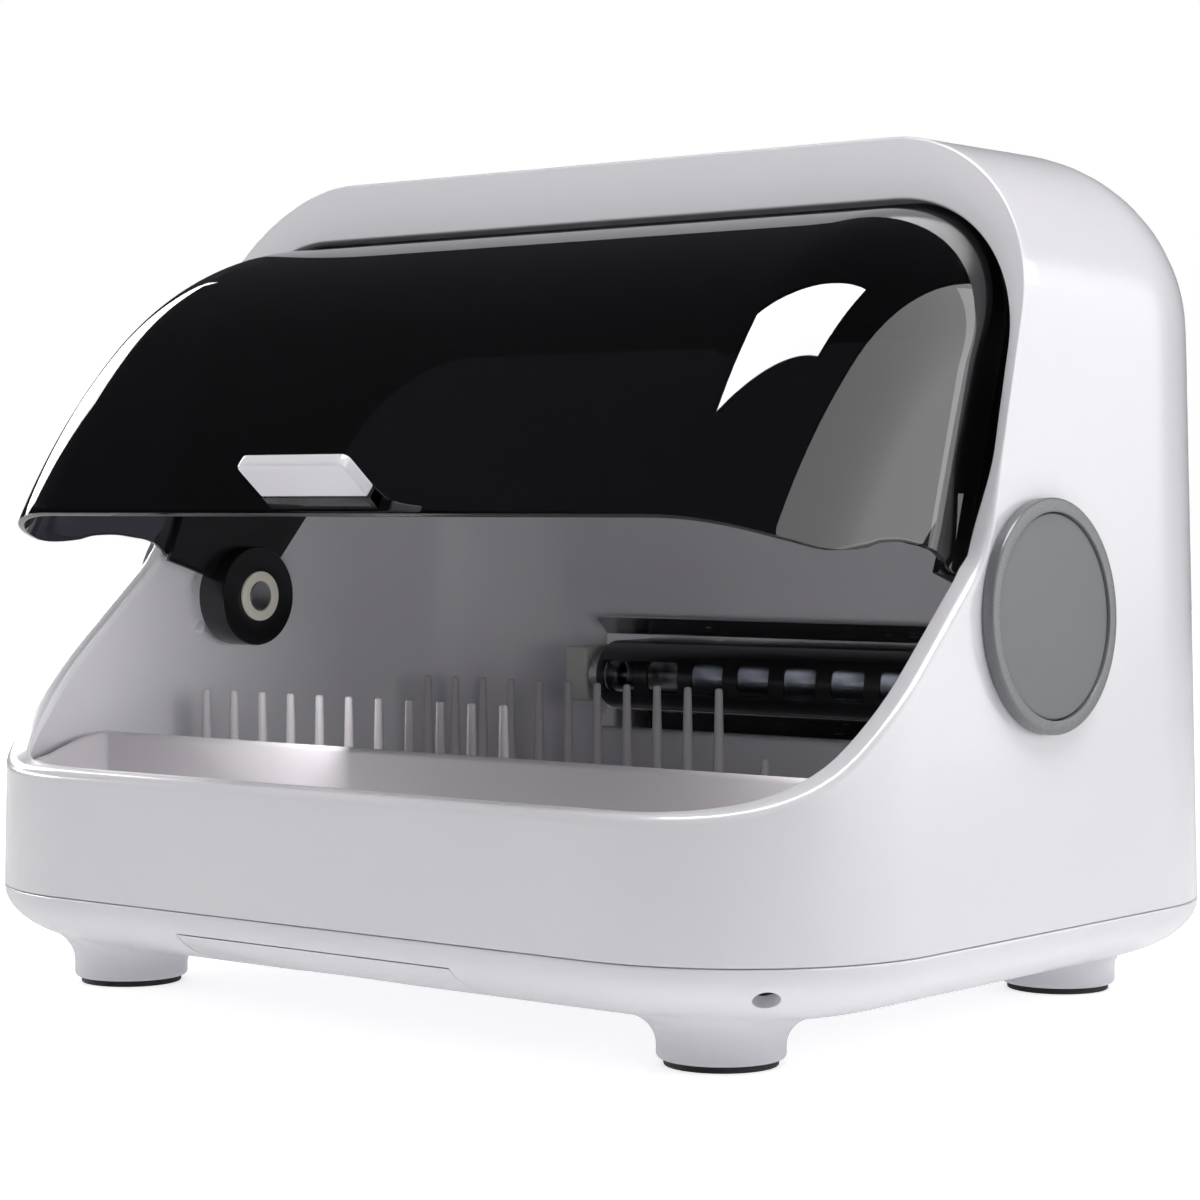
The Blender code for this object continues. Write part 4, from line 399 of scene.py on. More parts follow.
# Rim, inner edge and seam points of the right half, from the front middle to the top middle
def halfColumns(counts):
    half, plan, seam, wall = shell["width"] / 2, shell["planRadius"], shell["seam"], shell["wall"]
    straight, rimY, rimZ = half - plan, rimProfile[:, 0], rimProfile[:, 1]
    columns = []
    for share in np.arange(counts["lip"]) / counts["lip"]:
        x = straight * share
        columns.append(((x, 0, lip), (x, shell["rim"], lip), (x, 0, seam), (x, wall)))
    for share in np.arange(counts["corner"]) / counts["corner"]:
        angle = share * pi / 2
        across, along = sin(angle), 1 - cos(angle)
        y = plan * along
        z = float(np.interp(y, rimY, rimZ))
        centre = halfWidth(z) - plan
        inner = plan - shell["rim"]
        innerY = plan - inner * cos(angle)
        innerZ = float(np.interp(innerY, rimY, rimZ))
        columns.append((
            (centre + plan * across, y, z), (centre + inner * across, innerY, innerZ),
            (straight + plan * across, y, seam),
            (straight + (plan - wall) * across, plan - (plan - wall) * cos(angle)),
        ))
    archZ = shell["height"] - shell["topSide"]
    foot = np.interp(plan, rimY, rimLengths)
    riserAt, archAt = (np.interp(z, rimZ, rimLengths) for z in (shell["narrowLow"], archZ))
    bandFootZ = shell["height"] - shell["band"] - shell["bandCorner"]
    marks = np.concatenate([
        np.linspace(foot, riserAt, counts["riser"], endpoint=False),
        np.linspace(riserAt, archAt, counts["frame"], endpoint=False),
    ])
    for mark in marks:
        share = (mark - foot) / (archAt - foot)
        y, z = (float(np.interp(mark, rimLengths, rimProfile[:, i])) for i in (0, 1))
        rimHalf = halfWidth(z)
        narrow = ease(z, shell["narrowLow"], shell["narrowHigh"])
        width = shell["rim"] + (shell["bandSide"] - shell["rim"]) * narrow
        innerZ = z - (archZ - bandFootZ) * ease(z, shell["narrowLow"], archZ)
        innerY = frameY(innerZ) if narrow > 0 else y
        seamY = plan + (shell["depth"] - 2 * plan) * share
        columns.append((
            (rimHalf, y, z), (rimHalf - width, innerY, innerZ), (half, seamY, seam), (half - wall, seamY),
        ))
    innerHalf = halfWidth(archZ) - shell["bandSide"]
    rear = shell["depth"] - plan
    for share in np.arange(counts["arch"]) / counts["arch"]:
        angle = share * pi / 2
        up, over = sin(angle), 1 - cos(angle)
        z = archZ + shell["topSide"] * up
        innerZ = bandFootZ + shell["bandCorner"] * up
        columns.append((
            (halfWidth(z), frameY(z), z),
            (innerHalf - shell["bandCorner"] * over, frameY(innerZ), innerZ),
            (straight + plan * (1 - over), rear + plan * up, seam),
            (straight + (plan - wall) * (1 - over), rear + (plan - wall) * up),
        ))
    topHalf = halfWidth(shell["height"])
    innerTop = shell["height"] - shell["band"]
    for share in np.arange(counts["top"] + 1) / counts["top"]:
        left = 1 - share
        columns.append((
            (topHalf * left, shell["frameTop"], shell["height"]),
            ((innerHalf - shell["bandCorner"]) * left, frameY(innerTop), innerTop),
            (straight * left, shell["depth"], seam), (straight * left, shell["depth"] - wall),
        ))
    return columns


def rimNormal(point, blend=3):  # square to the rim's side view, blended over a few millimetres
    spans, offsets = np.diff(rimProfile, axis=0), np.array(point[1:]) - rimProfile[:-1]
    shares = np.clip((offsets * spans).sum(axis=1) / (spans ** 2).sum(axis=1), 0, 1)
    near = np.linalg.norm(offsets - spans * shares[:, None], axis=1)
    weights = np.exp(-(near / blend) ** 2) + 1e-12
    way = unit((unit(spans) * weights[:, None]).sum(axis=0))
    return np.array((0, -way[1], way[0]))


# One section: up the outside, over the rim, round the inner edge and down the lining
def shellSection(rim, inner, seam, inside, rows=60, innerRows=26):
    rim, inner, seam = np.array(rim, float), np.array(inner, float), np.array(seam, float)
    seamInner = np.array((*inside, shell["seam"]))
    normal, wall = rimNormal(inner), shell["wall"]
    width = float(np.linalg.norm(inner - rim))
    across = (inner - rim) / width
    narrow = ease(rim[2], shell["narrowLow"], shell["narrowHigh"])
    edge = shell["rimEdge"] + (shell["bandEdge"] - shell["rimEdge"]) * narrow
    core = coreOf(seam[0])
    outer = spaced(surfacePath(core, seam, rim, 0.0), rows, trim=edge)
    faceStart = rim + across * edge
    lipEdge = min(shell["innerEdge"], (width - edge) / 3)
    faceEnd, edgeStart = inner - across * lipEdge, inner - normal * lipEdge
    under = inner - normal * wall
    root = rim + across * min(wall, width - lipEdge) - normal * wall
    root = onSurface(core, unit(root - core)[None, :], wall)[0]
    rise = shell["deckTop"] - shell["seam"]
    drawnIn = shell["draft"] * rise * min(1.0, seamInner[0] / (shell["width"] / 2 - shell["planRadius"]))
    aboveDeck = seamInner + np.array((-drawnIn, 0, rise))
    lining = spaced(surfacePath(core, root, aboveDeck, wall), innerRows)
    # the moulding's bottom edge is broken, so that the seam shows as a fine shadow line
    low = seam + unit(seamInner - seam) * shell["seamEdge"]
    high = seam + np.array((0, 0, shell["seamEdge"]))
    return np.concatenate([
        [low], bend(low, seam, high, 2), [high], outer[1:],
        bend(outer[-1], rim, faceStart, 7), [faceStart, (faceStart + faceEnd) / 2, faceEnd],
        bend(faceEnd, inner, edgeStart, 3), [edgeStart, under], lining, [seamInner],
    ])


columnCounts = {"lip": 8, "corner": 26, "riser": 34, "frame": 16, "arch": 28, "top": 8}
right = [shellSection(*column) for column in halfColumns(columnCounts)]
left = [section * np.array((-1, 1, 1)) for section in right[-2:0:-1]]
shellMesh = loft(right + left, closed=True)
print("shell lofted", len(shellMesh.polygons), "faces")


# Finishes
# Injection-moulded plastic: a colour that drifts slowly between two, orange peel and a fine grain.
# rough is (middle, spread); peel and grain are (size, depth); sizes in mm
def mouldedPlastic(name, hexes, drift, rough, peel, grain, ior=1.53, coat=0.0, milk=0.0):
    material, tree, place = newMaterial(name)
    patches = addNode(tree, "TexNoise", {"Vector": place, "Scale": 1 / (drift * mm), "Detail": 2.0})
    tone = addNode(tree, "ValToRGB", {"Fac": patches})
    for stop, code in zip(tone.color_ramp.elements, hexes):
        stop.color = linear(code)
    swell = addNode(tree, "TexNoise", {"Vector": place, "Scale": 1 / (peel[0] * mm), "Detail": 1.0})
    pits = addNode(tree, "TexNoise", {
        "Vector": place, "Scale": 1 / (grain[0] * mm), "Detail": 3.0, "Roughness": 0.6,
    })
    gloss = addNode(tree, "MapRange", {
        "Value": pits, "To Min": rough[0] - rough[1], "To Max": rough[0] + rough[1],
    })
    wave = addNode(tree, "Bump", {"Height": swell, "Strength": 1.0, "Distance": peel[1] * mm})
    tooth = addNode(tree, "Bump", {
        "Height": pits, "Strength": 1.0, "Distance": grain[1] * mm, "Normal": wave,
    })
    shader = addNode(tree, "BsdfPrincipled", {
        "Base Color": tone, "Roughness": gloss, "IOR": ior, "Normal": tooth, "Coat Weight": coat,
        "Coat Roughness": 0.08, "Subsurface Weight": milk, "Subsurface Scale": 1.5 * mm,
    })
    addNode(tree, "OutputMaterial", {"Surface": shader})
    return material


# Clear sheet or tube: tint, faint flow lines (size, depth in mm) and wiping marks in the gloss
def clearPlastic(name, code, ior, flow, wipe, rough=0.02):
    material, tree, place = newMaterial(name)
    lines = addNode(tree, "TexNoise", {"Vector": place, "Scale": 1 / (flow[0] * mm), "Detail": 1.0})
    marks = addNode(tree, "TexNoise", {"Vector": place, "Scale": 1 / (wipe * mm), "Detail": 4.0})
    gloss = addNode(tree, "MapRange", {"Value": marks, "To Min": rough * 0.5, "To Max": rough * 1.5})
    wave = addNode(tree, "Bump", {"Height": lines, "Strength": 1.0, "Distance": flow[1] * mm})
    shader = addNode(tree, "BsdfPrincipled", {
        "Base Color": linear(code), "Roughness": gloss, "IOR": ior, "Transmission Weight": 1.0,
        "Normal": wave,
    })
    addNode(tree, "OutputMaterial", {"Surface": shader})
    return material


# Metal: turned or drawn lines (size, depth in mm) as a stretched noise in the gloss and the bump
def metalSheet(name, code, rough, stretch, line):
    material, tree, place = newMaterial(name)
    along = addNode(tree, "Mapping", {"Vector": place, "Scale": (stretch, 1.0, 1.0)})
    lines = addNode(tree, "TexNoise", {"Vector": along, "Scale": 1 / (line[0] * mm), "Detail": 2.0})
    gloss = addNode(tree, "MapRange", {"Value": lines, "To Min": rough * 0.7, "To Max": rough * 1.3})
    ridges = addNode(tree, "Bump", {"Height": lines, "Strength": 1.0, "Distance": line[1] * mm})
    shader = addNode(tree, "BsdfPrincipled", {
        "Base Color": linear(code), "Metallic": 1.0, "Roughness": gloss, "Normal": ridges,
    })
    addNode(tree, "OutputMaterial", {"Surface": shader})
    return material


# High-gloss ABS off a polished mould: soft highlights with a faint orange peel
whiteAbs = mouldedPlastic(
    "polishedWhiteAbs", ("#E9E7EC", "#E5E4EA"), drift=90, rough=(0.20, 0.03),
    peel=(2.2, 0.0016), grain=(0.35, 0.0006), coat=0.15, milk=0.02,
)
# The base is moulded of the same resin with a little pearl in it: a shade greyer
pearlAbs = mouldedPlastic(
    "pearlAbs", ("#EAE9EE", "#E6E6EC"), drift=60, rough=(0.24, 0.03),
    peel=(2.2, 0.0018), grain=(0.35, 0.0008), coat=0.10, milk=0.02,
)
# Satin polypropylene: waxy grey with a wide soft highlight
greyPolypropylene = mouldedPlastic(
    "satinGreyPolypropylene", ("#C9C5C9", "#C2BEC3"), drift=45, rough=(0.38, 0.05),
    peel=(1.6, 0.0030), grain=(0.30, 0.0016), ior=1.49, milk=0.05,
)
# Spark-eroded ABS: an even, fine matt texture that spreads the light on the side discs
etchedGreyAbs = mouldedPlastic(
    "etchedGreyAbs", ("#6E7073", "#696B6E"), drift=30, rough=(0.46, 0.06),
    peel=(1.2, 0.0020), grain=(0.28, 0.0060),
)
# The ring is the same grey off a smoother mould: its edges catch thin highlights
satinGreyAbs = mouldedPlastic(
    "satinGreyAbs", ("#747679", "#6F7174"), drift=30, rough=(0.27, 0.04),
    peel=(1.4, 0.0016), grain=(0.28, 0.0010),
)
# Gloss black ABS behind the window, near black with a soft sheen. On the lid carrier this black is also painted
# shade: it stands in for the dark gap and the shaded inside of the hood behind the window
blackAbsAndPaintedShade = mouldedPlastic(
    "glossBlackAbsAndPaintedShade", ("#161618", "#131315"), drift=50, rough=(0.24, 0.04),
    peel=(2.0, 0.0015), grain=(0.30, 0.0008),
)
# Moulded rubber: black, dull, with a fine open skin
blackRubber = mouldedPlastic(
    "mouldedBlackRubber", ("#1B1B1C", "#232324"), drift=6, rough=(0.72, 0.10),
    peel=(0.9, 0.010), grain=(0.22, 0.012), ior=1.52,
)
# Natural acetal: milky and slippery, for the bushes
naturalAcetal = mouldedPlastic(
    "naturalAcetal", ("#E2DFD4", "#DCD8CB"), drift=12, rough=(0.34, 0.05),
    peel=(1.0, 0.0015), grain=(0.20, 0.0010), ior=1.48, milk=0.15,
)
# Glass-filled nylon: matt, faintly mottled
blackNylon = mouldedPlastic(
    "glassFilledBlackNylon", ("#202022", "#27272A"), drift=4, rough=(0.50, 0.08),
    peel=(0.8, 0.004), grain=(0.22, 0.005),
)
whiteNylon = mouldedPlastic(
    "glassFilledWhiteNylon", ("#DAD9D4", "#D3D2CC"), drift=5, rough=(0.46, 0.08),
    peel=(0.8, 0.003), grain=(0.22, 0.004),
)
# Smoke polycarbonate, polished on both faces: dark and mirror-smooth
smokePolycarbonate = clearPlastic("smokePolycarbonate", "#2B2A31", ior=1.585, flow=(40, 0.02), wipe=25)
# Drawn quartz tube: water-clear with faint draw lines
drawnQuartz = clearPlastic("drawnQuartz", "#F4F6FA", ior=1.458, flow=(6, 0.01), wipe=20)
# Turned stainless steel: fine rings from the tool
turnedSteel = metalSheet("turnedStainlessSteel", "#C4C5C7", 0.26, stretch=1.0, line=(0.5, 0.002))
# Drawn aluminium for the lamp's caps, and rolled bright sheet for its reflector: lines run along them
drawnAluminium = metalSheet("drawnAluminium", "#D6D7D9", 0.30, stretch=0.1, line=(0.4, 0.002))
brightAluminium = metalSheet("rolledBrightAluminium", "#E3E4E6", 0.24, stretch=0.03, line=(0.6, 0.0015))
print("finishes made")


# Housing: the shell with a boss inside each side wall that takes the hinge pin
boss = {"radius": 16, "length": 6.6, "y": 156.7, "z": 148.1, "bore": 6.3, "edge": 0.8, "flare": 1.5}
gusset = {"half": 0.9, "overlap": 1, "reach": 6, "step": 2.4, "sink": 0.8, "edge": 0.4}
faceX = halfWidth(boss["z"])
wallInner = faceX - shell["wall"]
bossFace, bossRoot = wallInner - boss["length"], wallInner + boss["flare"]
toX = {side: Matrix.Rotation(sign * pi / 2, 3, "Y") for side, sign in sides}
pivot = (0, boss["y"], boss["z"])
extras = []
for toSide in toX.values():
    extras.append(placed(turned([
        (boss["bore"], bossFace), (boss["radius"], bossFace, boss["edge"]),
        (boss["radius"], wallInner - boss["flare"]), (boss["radius"] + boss["flare"], bossRoot),
        (boss["bore"], bossRoot),
    ]), pivot, toSide))
    for i in range(4):  # gussets that stiffen the boss
        rib = block(
            (-gusset["half"], boss["radius"] - gusset["overlap"], bossFace + gusset["step"]),
            (gusset["half"], boss["radius"] + gusset["reach"], wallInner + gusset["sink"]), gusset["edge"],
        )
        extras.append(placed(rib, pivot, toSide @ Matrix.Rotation(radians(45 + 90 * i), 3, "Z")))
addPiece("cabinetShell", joined([shellMesh] + extras), "cabinet", whiteAbs, "white_abs", "housing")
print("housing placed")


# Base pan: a shallow bowl with a tongue inside the housing's seam
pan = {
    "bottom": 15.5, "chamfer": 48, "floor": 18.5, "gap": 0.3, "tongueTop": 57.5, "tongue": 2.5,
    "tongueInset": 3.9 + shell["draft"] * 18.5, "edge": 0.5, "drain": 4.6, "drainInset": 5.8,
    "fittingX": 60, "fittingZ": 48.5, "notch": 7.1,
}
leg = {
    "x": 145.5, "front": 52.3, "rear": 267.7, "radius": 21.9, "flare": 9.2, "edge": 1.8, "bottom": 2.3,
    "bore": 5.3, "boreTop": 8.3, "sink": 0.12,
}
panSeam = shell["seam"] - pan["gap"]
panDepth = panSeam - pan["bottom"]
innerInset = pan["tongueInset"] + pan["tongue"]


def quarter(steps):  # sine and cosine at even steps through a right angle
    return [(sin(i / steps * pi / 2), cos(i / steps * pi / 2)) for i in range(steps + 1)]


def planOutline(inset, steps=26):
    radius = shell["planRadius"] - inset
    return roundedRectangle(shell["width"] / 2 - inset, inset, shell["depth"] - inset, radius, radius, steps)


def ringsAt(rings):
    return [[(x, y, z) for x, y in planOutline(inset)] for inset, z in rings]


def panZ(inset):  # height of the underside's chamfer
    share = 1 - min(inset, pan["chamfer"]) / pan["chamfer"]
    return panSeam - panDepth * sqrt(max(0.0, 1 - share ** 2))


def insetOf(x, y):  # distance from the plan's outline
    radius = shell["planRadius"]
    across = abs(x) - (shell["width"] / 2 - radius)
    along = max(radius - y, y - (shell["depth"] - radius))
    return radius - (hypot(across, along) if across > 0 and along > 0 else max(across, along))


outerRings = [(pan["chamfer"] * (1 - s), panSeam - panDepth * c) for s, c in quarter(22)]
seamRings = [
    (share * pan["edge"], panSeam - drop * pan["edge"]) for share, drop in ((0, 1), (0.3, 0.3), (1, 0))
]
tongueRings = [
    (pan["tongueInset"], panSeam), (pan["tongueInset"], pan["tongueTop"]), (innerInset, pan["tongueTop"]),
]
innerRings = [
    (innerInset + (pan["chamfer"] - innerInset) * (1 - s), panSeam - (panSeam - pan["floor"]) * c)
    for s, c in quarter(12)[::-1]
]
panMesh = loft(ringsAt(outerRings[:-1] + seamRings + tongueRings + innerRings))


def legMesh(x, y, steps=72):
    def ring(radius, z=None, drop=0.0):  # without a z it follows the pan's underside
        points = []
        for i in range(steps):
            angle = 2 * pi * i / steps
            px, py = x + radius * cos(angle), y + radius * sin(angle)
            points.append((px, py, panZ(insetOf(px, py)) - drop if z is None else z))
        return points

    radius, flare, edge, sink = (leg[key] for key in ("radius", "flare", "edge", "sink"))
    rings = [ring(leg["bore"], leg["boreTop"]), ring(leg["bore"], leg["bottom"])]
    rings += [ring(radius - edge * (1 - s), leg["bottom"] + edge * (1 - c)) for s, c in quarter(5)]
    rings += [ring(radius + flare * (1 - c), drop=(flare + sink) * (1 - s) - sink) for s, c in quarter(14)]
    # two last rings inside the pan's wall close the leg
    rings += [ring(radius + flare * 0.9, drop=-1.2), ring(radius / 2, pan["bottom"] + 1.4)]
    return loft(rings)


feet = {
    end + "_" + side: (sign * leg["x"], leg[end]) for end in ("front", "rear") for side, sign in sides
}
tray = {
    "half": 67, "bottom": 20.5, "top": 29.8, "step": 52, "rear": 200, "wall": 2, "frontWall": 6,
    "gap": 0.5, "runnerX": 58, "runner": 2, "scoop": (38, 11, 3.6), "scoopY": 27,
}
overrun = 2  # how far a cutting block passes the face that it cuts
mouth = block(
    (-tray["half"] - tray["gap"], -overrun, pan["bottom"] - overrun),
    (tray["half"] + tray["gap"], tray["step"], tray["top"] + tray["gap"]), 0.6,
)
# The drain stands square to the chamfer at the front right corner
reach = shell["planRadius"] - pan["drainInset"]
acrossWay, alongWay = cos(radians(-45)), sin(radians(-45))
drainAt = (
    shell["width"] / 2 - shell["planRadius"] + reach * acrossWay, shell["planRadius"] + reach * alongWay,
    panZ(pan["drainInset"]),
)
out = 1 - pan["drainInset"] / pan["chamfer"]
level, down = out / pan["chamfer"], sqrt(1 - out ** 2) / panDepth
drainWay = Vector((level * acrossWay, level * alongWay, -down)).to_track_quat("Z", "Y").to_matrix()
bore = pan["drain"]
drain = turned([(0, 6), (bore + 6.4, 6), (bore + 0.4, 0), (bore, -0.5), (bore, -6), (0, -6)], 48)
changes = [boolean("UNION", legMesh(x, y)) for x, y in feet.values()]
changes += [boolean("DIFFERENCE", mouth), boolean("DIFFERENCE", placed(drain, drainAt, drainWay))]
for side, sign in sides:
    x = sign * tray["runnerX"]
    changes.append(boolean("UNION", block(
        (x - tray["runner"], tray["step"] + tray["gap"], pan["floor"] - 1),
        (x + tray["runner"], tray["rear"], tray["bottom"] - pan["gap"]), 0.3,
    )))
changes.append(boolean("UNION", block(
    (-tray["runnerX"], tray["rear"] + 0.3, pan["floor"] - 1),
    (tray["runnerX"], tray["rear"] + 4, tray["top"]), 0.5,
)))
for side, sign in sides:  # the tongue is notched behind each rear fitting
    x, z, wide = sign * pan["fittingX"], pan["fittingZ"], pan["notch"]
    changes.append(boolean("DIFFERENCE", block(
        (x - wide, shell["depth"] - innerInset - overrun, z - wide), (x + wide, shell["depth"] - 3, z + wide),
    )))
addPiece("basePan", finished(panMesh, changes), "cabinet", pearlAbs, "pearl_abs", "base_pan")
for place, (x, y) in feet.items():
    pad = turned([
        (0, 8), (5, 8, 0.6), (5, 2), (19.4, 2, 0.4), (19.4, 0, 0.7), (13, 0), (12.4, 0.4), (0, 0.4),
    ], 96)
    addPiece("footPad_" + place, placed(pad, (x, y, 0)), "cabinet", blackRubber, "rubber", "foot_pad_" + place)
print("base pan placed")

# Drip tray: its front is a piece of the pan's chamfer, with a finger scoop underneath
below, step = pan["bottom"] - overrun, tray["step"] - tray["gap"]
sideView = [
    (-overrun, below), (step, below), (step, tray["bottom"]), (tray["rear"], tray["bottom"]),
    (tray["rear"], tray["top"]), (-overrun, tray["top"]),
]
envelope = loft(ringsAt(outerRings + [(0, shell["height"] / 2)]))
frontInset = pan["chamfer"] * (1 - sqrt(1 - ((panSeam - tray["bottom"]) / panDepth) ** 2))
hollow = block(
    (tray["wall"] - tray["half"], frontInset + tray["frontWall"], tray["bottom"] + tray["wall"]),
    (tray["half"] - tray["wall"], tray["rear"] - tray["wall"], tray["top"] + 3), 1.2,
)
ball = bmesh.new()
bmesh.ops.create_uvsphere(ball, u_segments=72, v_segments=36, radius=1.0)
bmesh.ops.transform(ball, matrix=Matrix.Diagonal((*tray["scoop"], 1.0)), verts=ball.verts)
scoop = placed(cleaned(ball), (0, tray["scoopY"], pan["bottom"]))
trayMesh = finished(prism(sideView, tray["half"]), [
    boolean("INTERSECT", envelope), boolean("DIFFERENCE", hollow), boolean("DIFFERENCE", scoop),
    softEdges(0.35, 2),
])
addPiece("dripTray", trayMesh, "drawer", pearlAbs, "pearl_abs", "drip_tray")
print("drip tray placed")

# Deck with two rows of drain slots
deck = {
    "inset": pan["tongueInset"] + 0.3, "bottom": 57.8, "thickness": 3, "slot": 4, "count": 13, "half": 170,
    "front": 98, "pitch": 92, "length": 70,
}
outlines = [planOutline(deck["inset"], 24)]
half = deck["slot"] / 2
end = deck["length"] / 2 - half
for row in range(2):
    y = deck["front"] + deck["length"] / 2 + row * deck["pitch"]
    for x in np.linspace(-deck["half"], deck["half"], deck["count"]):
        outlines.append([
            (x + way * half * cos(a), y + way * (end + half * sin(a)))
            for way in (1, -1) for a in np.linspace(0, pi, 9)
        ])
deckMesh = placed(plate(outlines, deck["thickness"], 0.35), (0, 0, deck["bottom"] + deck["thickness"] / 2))
addPiece("drainDeck", deckMesh, "cabinet", greyPolypropylene, "grey_insert", "drain_deck")

# Cutlery trough with a rolled rim that climbs towards the back
trough = {
    "start": 9.3, "rear": 88, "rise": 7, "riseStart": 45, "rim": 6, "drop": 3.5, "wall": 2, "taper": 5,
    "rearCorner": 6, "floor": 61.4, "crest": 2.4, "fillet": 4,
}


def troughRing(inset, z, lift=1):  # a lifted ring climbs with the rim
    start = trough["start"] + inset
    rearRadius = max(trough["rearCorner"] - inset, trough["wall"])
    room = trough["rear"] - inset - start - rearRadius - trough["wall"]
    frontRadius = min(shell["planRadius"] - start, room)
    points = []
    for x, y in roundedRectangle(
        halfWidth(shell["lip"]) - start, start, trough["rear"] - inset, frontRadius, rearRadius, 24
    ):
        climb = trough["rise"] * ease(y + inset, trough["riseStart"], trough["rear"])
        points.append((x, y, z + lift * climb))
    return points


crest, rimHalf, floorZ = shell["lip"], trough["rim"] / 2, trough["floor"]
lowWall = trough["rim"] - trough["wall"]
foot = lowWall + trough["taper"]
innerFoot = foot + trough["wall"]
under = crest - trough["drop"]
rings = [
    troughRing(foot + 1, floorZ, 0), troughRing(foot, floorZ + 1, 0), troughRing(lowWall, under),
    troughRing(0.3, under),
]
for a in np.linspace(0, pi, 13):  # half-round crest
    rings.append(troughRing(
        rimHalf - (rimHalf - 0.05) * cos(a), crest - trough["crest"] + trough["crest"] * sin(a),
    ))
rings += [troughRing(trough["rim"] + 0.6, under - 1), troughRing(innerFoot - 0.4, floorZ + 6, 0)]
for s, c in quarter(6):  # inner floor fillet
    rings.append(troughRing(
        innerFoot + trough["fillet"] * (1 - c), floorZ + trough["wall"] + trough["fillet"] * (1 - s), 0,
    ))
addPiece("cutleryTrough", loft(rings), "cabinet", greyPolypropylene, "grey_insert", "cutlery_trough")

# Lift-out racks: a two-hole frame with rows of tapered posts
racks = {
    "front": 118, "rear": 262, "rail": 8, "thickness": 4, "floor": 61.4, "post": 2.6, "tip": 1.56,
    "corner": 3, "holeCorner": 2, "collar": 0.9,
}


def rackMesh(low, high, count, height, rows):
    rail, thickness = racks["rail"], racks["thickness"]
    half = (high - low) / 2
    front, rear = racks["front"] + rail, racks["rear"] - rail
    middle = (front + rear) / 2
    outlines = [roundedRectangle(half, racks["front"], racks["rear"], racks["corner"], racks["corner"], 6)]
    for near, far in ((front, middle - rail / 2), (middle + rail / 2, rear)):
        outlines.append(roundedRectangle(half - rail, near, far, racks["holeCorner"], racks["holeCorner"], 5))
    meshes = [placed(plate(outlines, thickness, 0.8), ((low + high) / 2, 0, racks["floor"] + thickness / 2))]
    top, base = thickness - 1 + height, thickness - 0.1
    for y in rows:
        for x in np.linspace(low + rail / 2, high - rail / 2, count):
            post = turned([
                (0, top), (racks["tip"], top, 1.2), (racks["post"], thickness + 1),
                (racks["post"] + racks["collar"], base), (0, base),
            ], 20)
            meshes.append(placed(post, (x, y, racks["floor"])))
    return joined(meshes)


first, last = racks["front"] + racks["rail"] / 2, racks["rear"] - racks["rail"] / 2
plates = rackMesh(-180, -8, 11, 46, (first, last))
bowls = rackMesh(8, 180, 4, 18, (first, (first + last) / 2, last))
addPiece("plateRack", plates, "cabinet", greyPolypropylene, "grey_insert", "plate_rack")
addPiece("bowlRack", bowls, "cabinet", greyPolypropylene, "grey_insert", "bowl_rack")
print("deck, trough and racks placed")


# Half-drum lid: a clear window over a black inner carrier, in polar sizes about the drum's axis
lid = {
    "y": 163.7, "z": 148.0, "radius": 145, "half": 194, "corner": 48, "wall": 2.5, "tip": 42.5,
    "flareAngle": radians(45), "flare": 0.255, "rearOffset": 6, "lipRise": 2, "lipDepth": 6.5,
    "wingShares": (0.293, 0.317, 0.386, 0.493, 0.600, 0.648, 0.779, 0.831, 1.0),
    "wingAngles": (19.1, 19.1, 22.3, 20.1, 16.5, 14.1, 11.8, 12.0, 13.2),
    "edge": 0.7, "gap": 0.4, "overlap": 10, "carrierRear": radians(132), "carrierInner": 15.5,
}
lidAt = (0, lid["y"], lid["z"])


def planeAngle(radius, offset):  # where the drum meets a plane beside the opening's
    distance = (lid["y"] - frameY(lid["z"]) - offset) * cos(shell["frameLean"])
    return shell["frameLean"] + acos(min(1.0, distance / radius))


def grown(angle, radius):  # the lower edge flares out
    return radius * (1 + lid["flare"] * max(0.0, lid["flareAngle"] - angle) ** 2)


def wingAngle(radius):  # smooth through the wing's sizes
    shares, angles = np.array(lid["wingShares"]), np.array(lid["wingAngles"])
    slopes = np.gradient(angles, shares) * 0.8
    share = float(np.clip(radius / lid["radius"], shares[0], shares[-1]))
    i = int(np.clip(np.searchsorted(shares, share) - 1, 0, len(shares) - 2))
    span = shares[i + 1] - shares[i]
    t = (share - shares[i]) / span
    start, stop = (1 + 2 * t) * (1 - t) ** 2 * angles[i], t * t * (3 - 2 * t) * angles[i + 1]
    return radians(start + stop + span * t * (1 - t) * ((1 - t) * slopes[i] - t * slopes[i + 1]))


# (x, radius) from the drum's middle over its round end to the hub
def drumStations(half, radius, corner, inner, flat=14, turn=22, side=26):
    flatEnd = half - corner
    stations = [(flatEnd * i / flat, radius) for i in range(flat)]
    stations += [(flatEnd + corner * s, radius - corner * (1 - c)) for s, c in quarter(turn)[:-1]]
    return stations + [(half, r) for r in np.linspace(radius - corner, inner, side + 1)]


def drumSheet(stations, lowAngle, highAngle, lipRise, rows=40):
    shape = bmesh.new()
    grid = []
    for x, radius in [(-x, r) for x, r in stations[:0:-1]] + stations:
        low, high = lowAngle(radius), highAngle(radius)
        lip = max(1 - lid["lipDepth"] / (radius * (high - low)), 0.5)
        ends = [lip * (1 - t) + t for t in (0.25, 0.5, 0.75, 0.9, 1.0)] if lipRise else [1.0]
        line = []
        for share in [*np.linspace(0, lip, rows), *ends]:
            angle = low + (high - low) * share
            reach = grown(angle, radius) + lipRise * radius / lid["radius"] * ease(share, lip, 1.0)
            line.append(shape.verts.new((x, -reach * cos(angle), reach * sin(angle))))
        grid.append(line)
    for one, two in zip(grid, grid[1:]):
        for i in range(len(one) - 1):
            shape.faces.new((one[i], two[i], two[i + 1], one[i + 1]))
    return cleaned(shape)


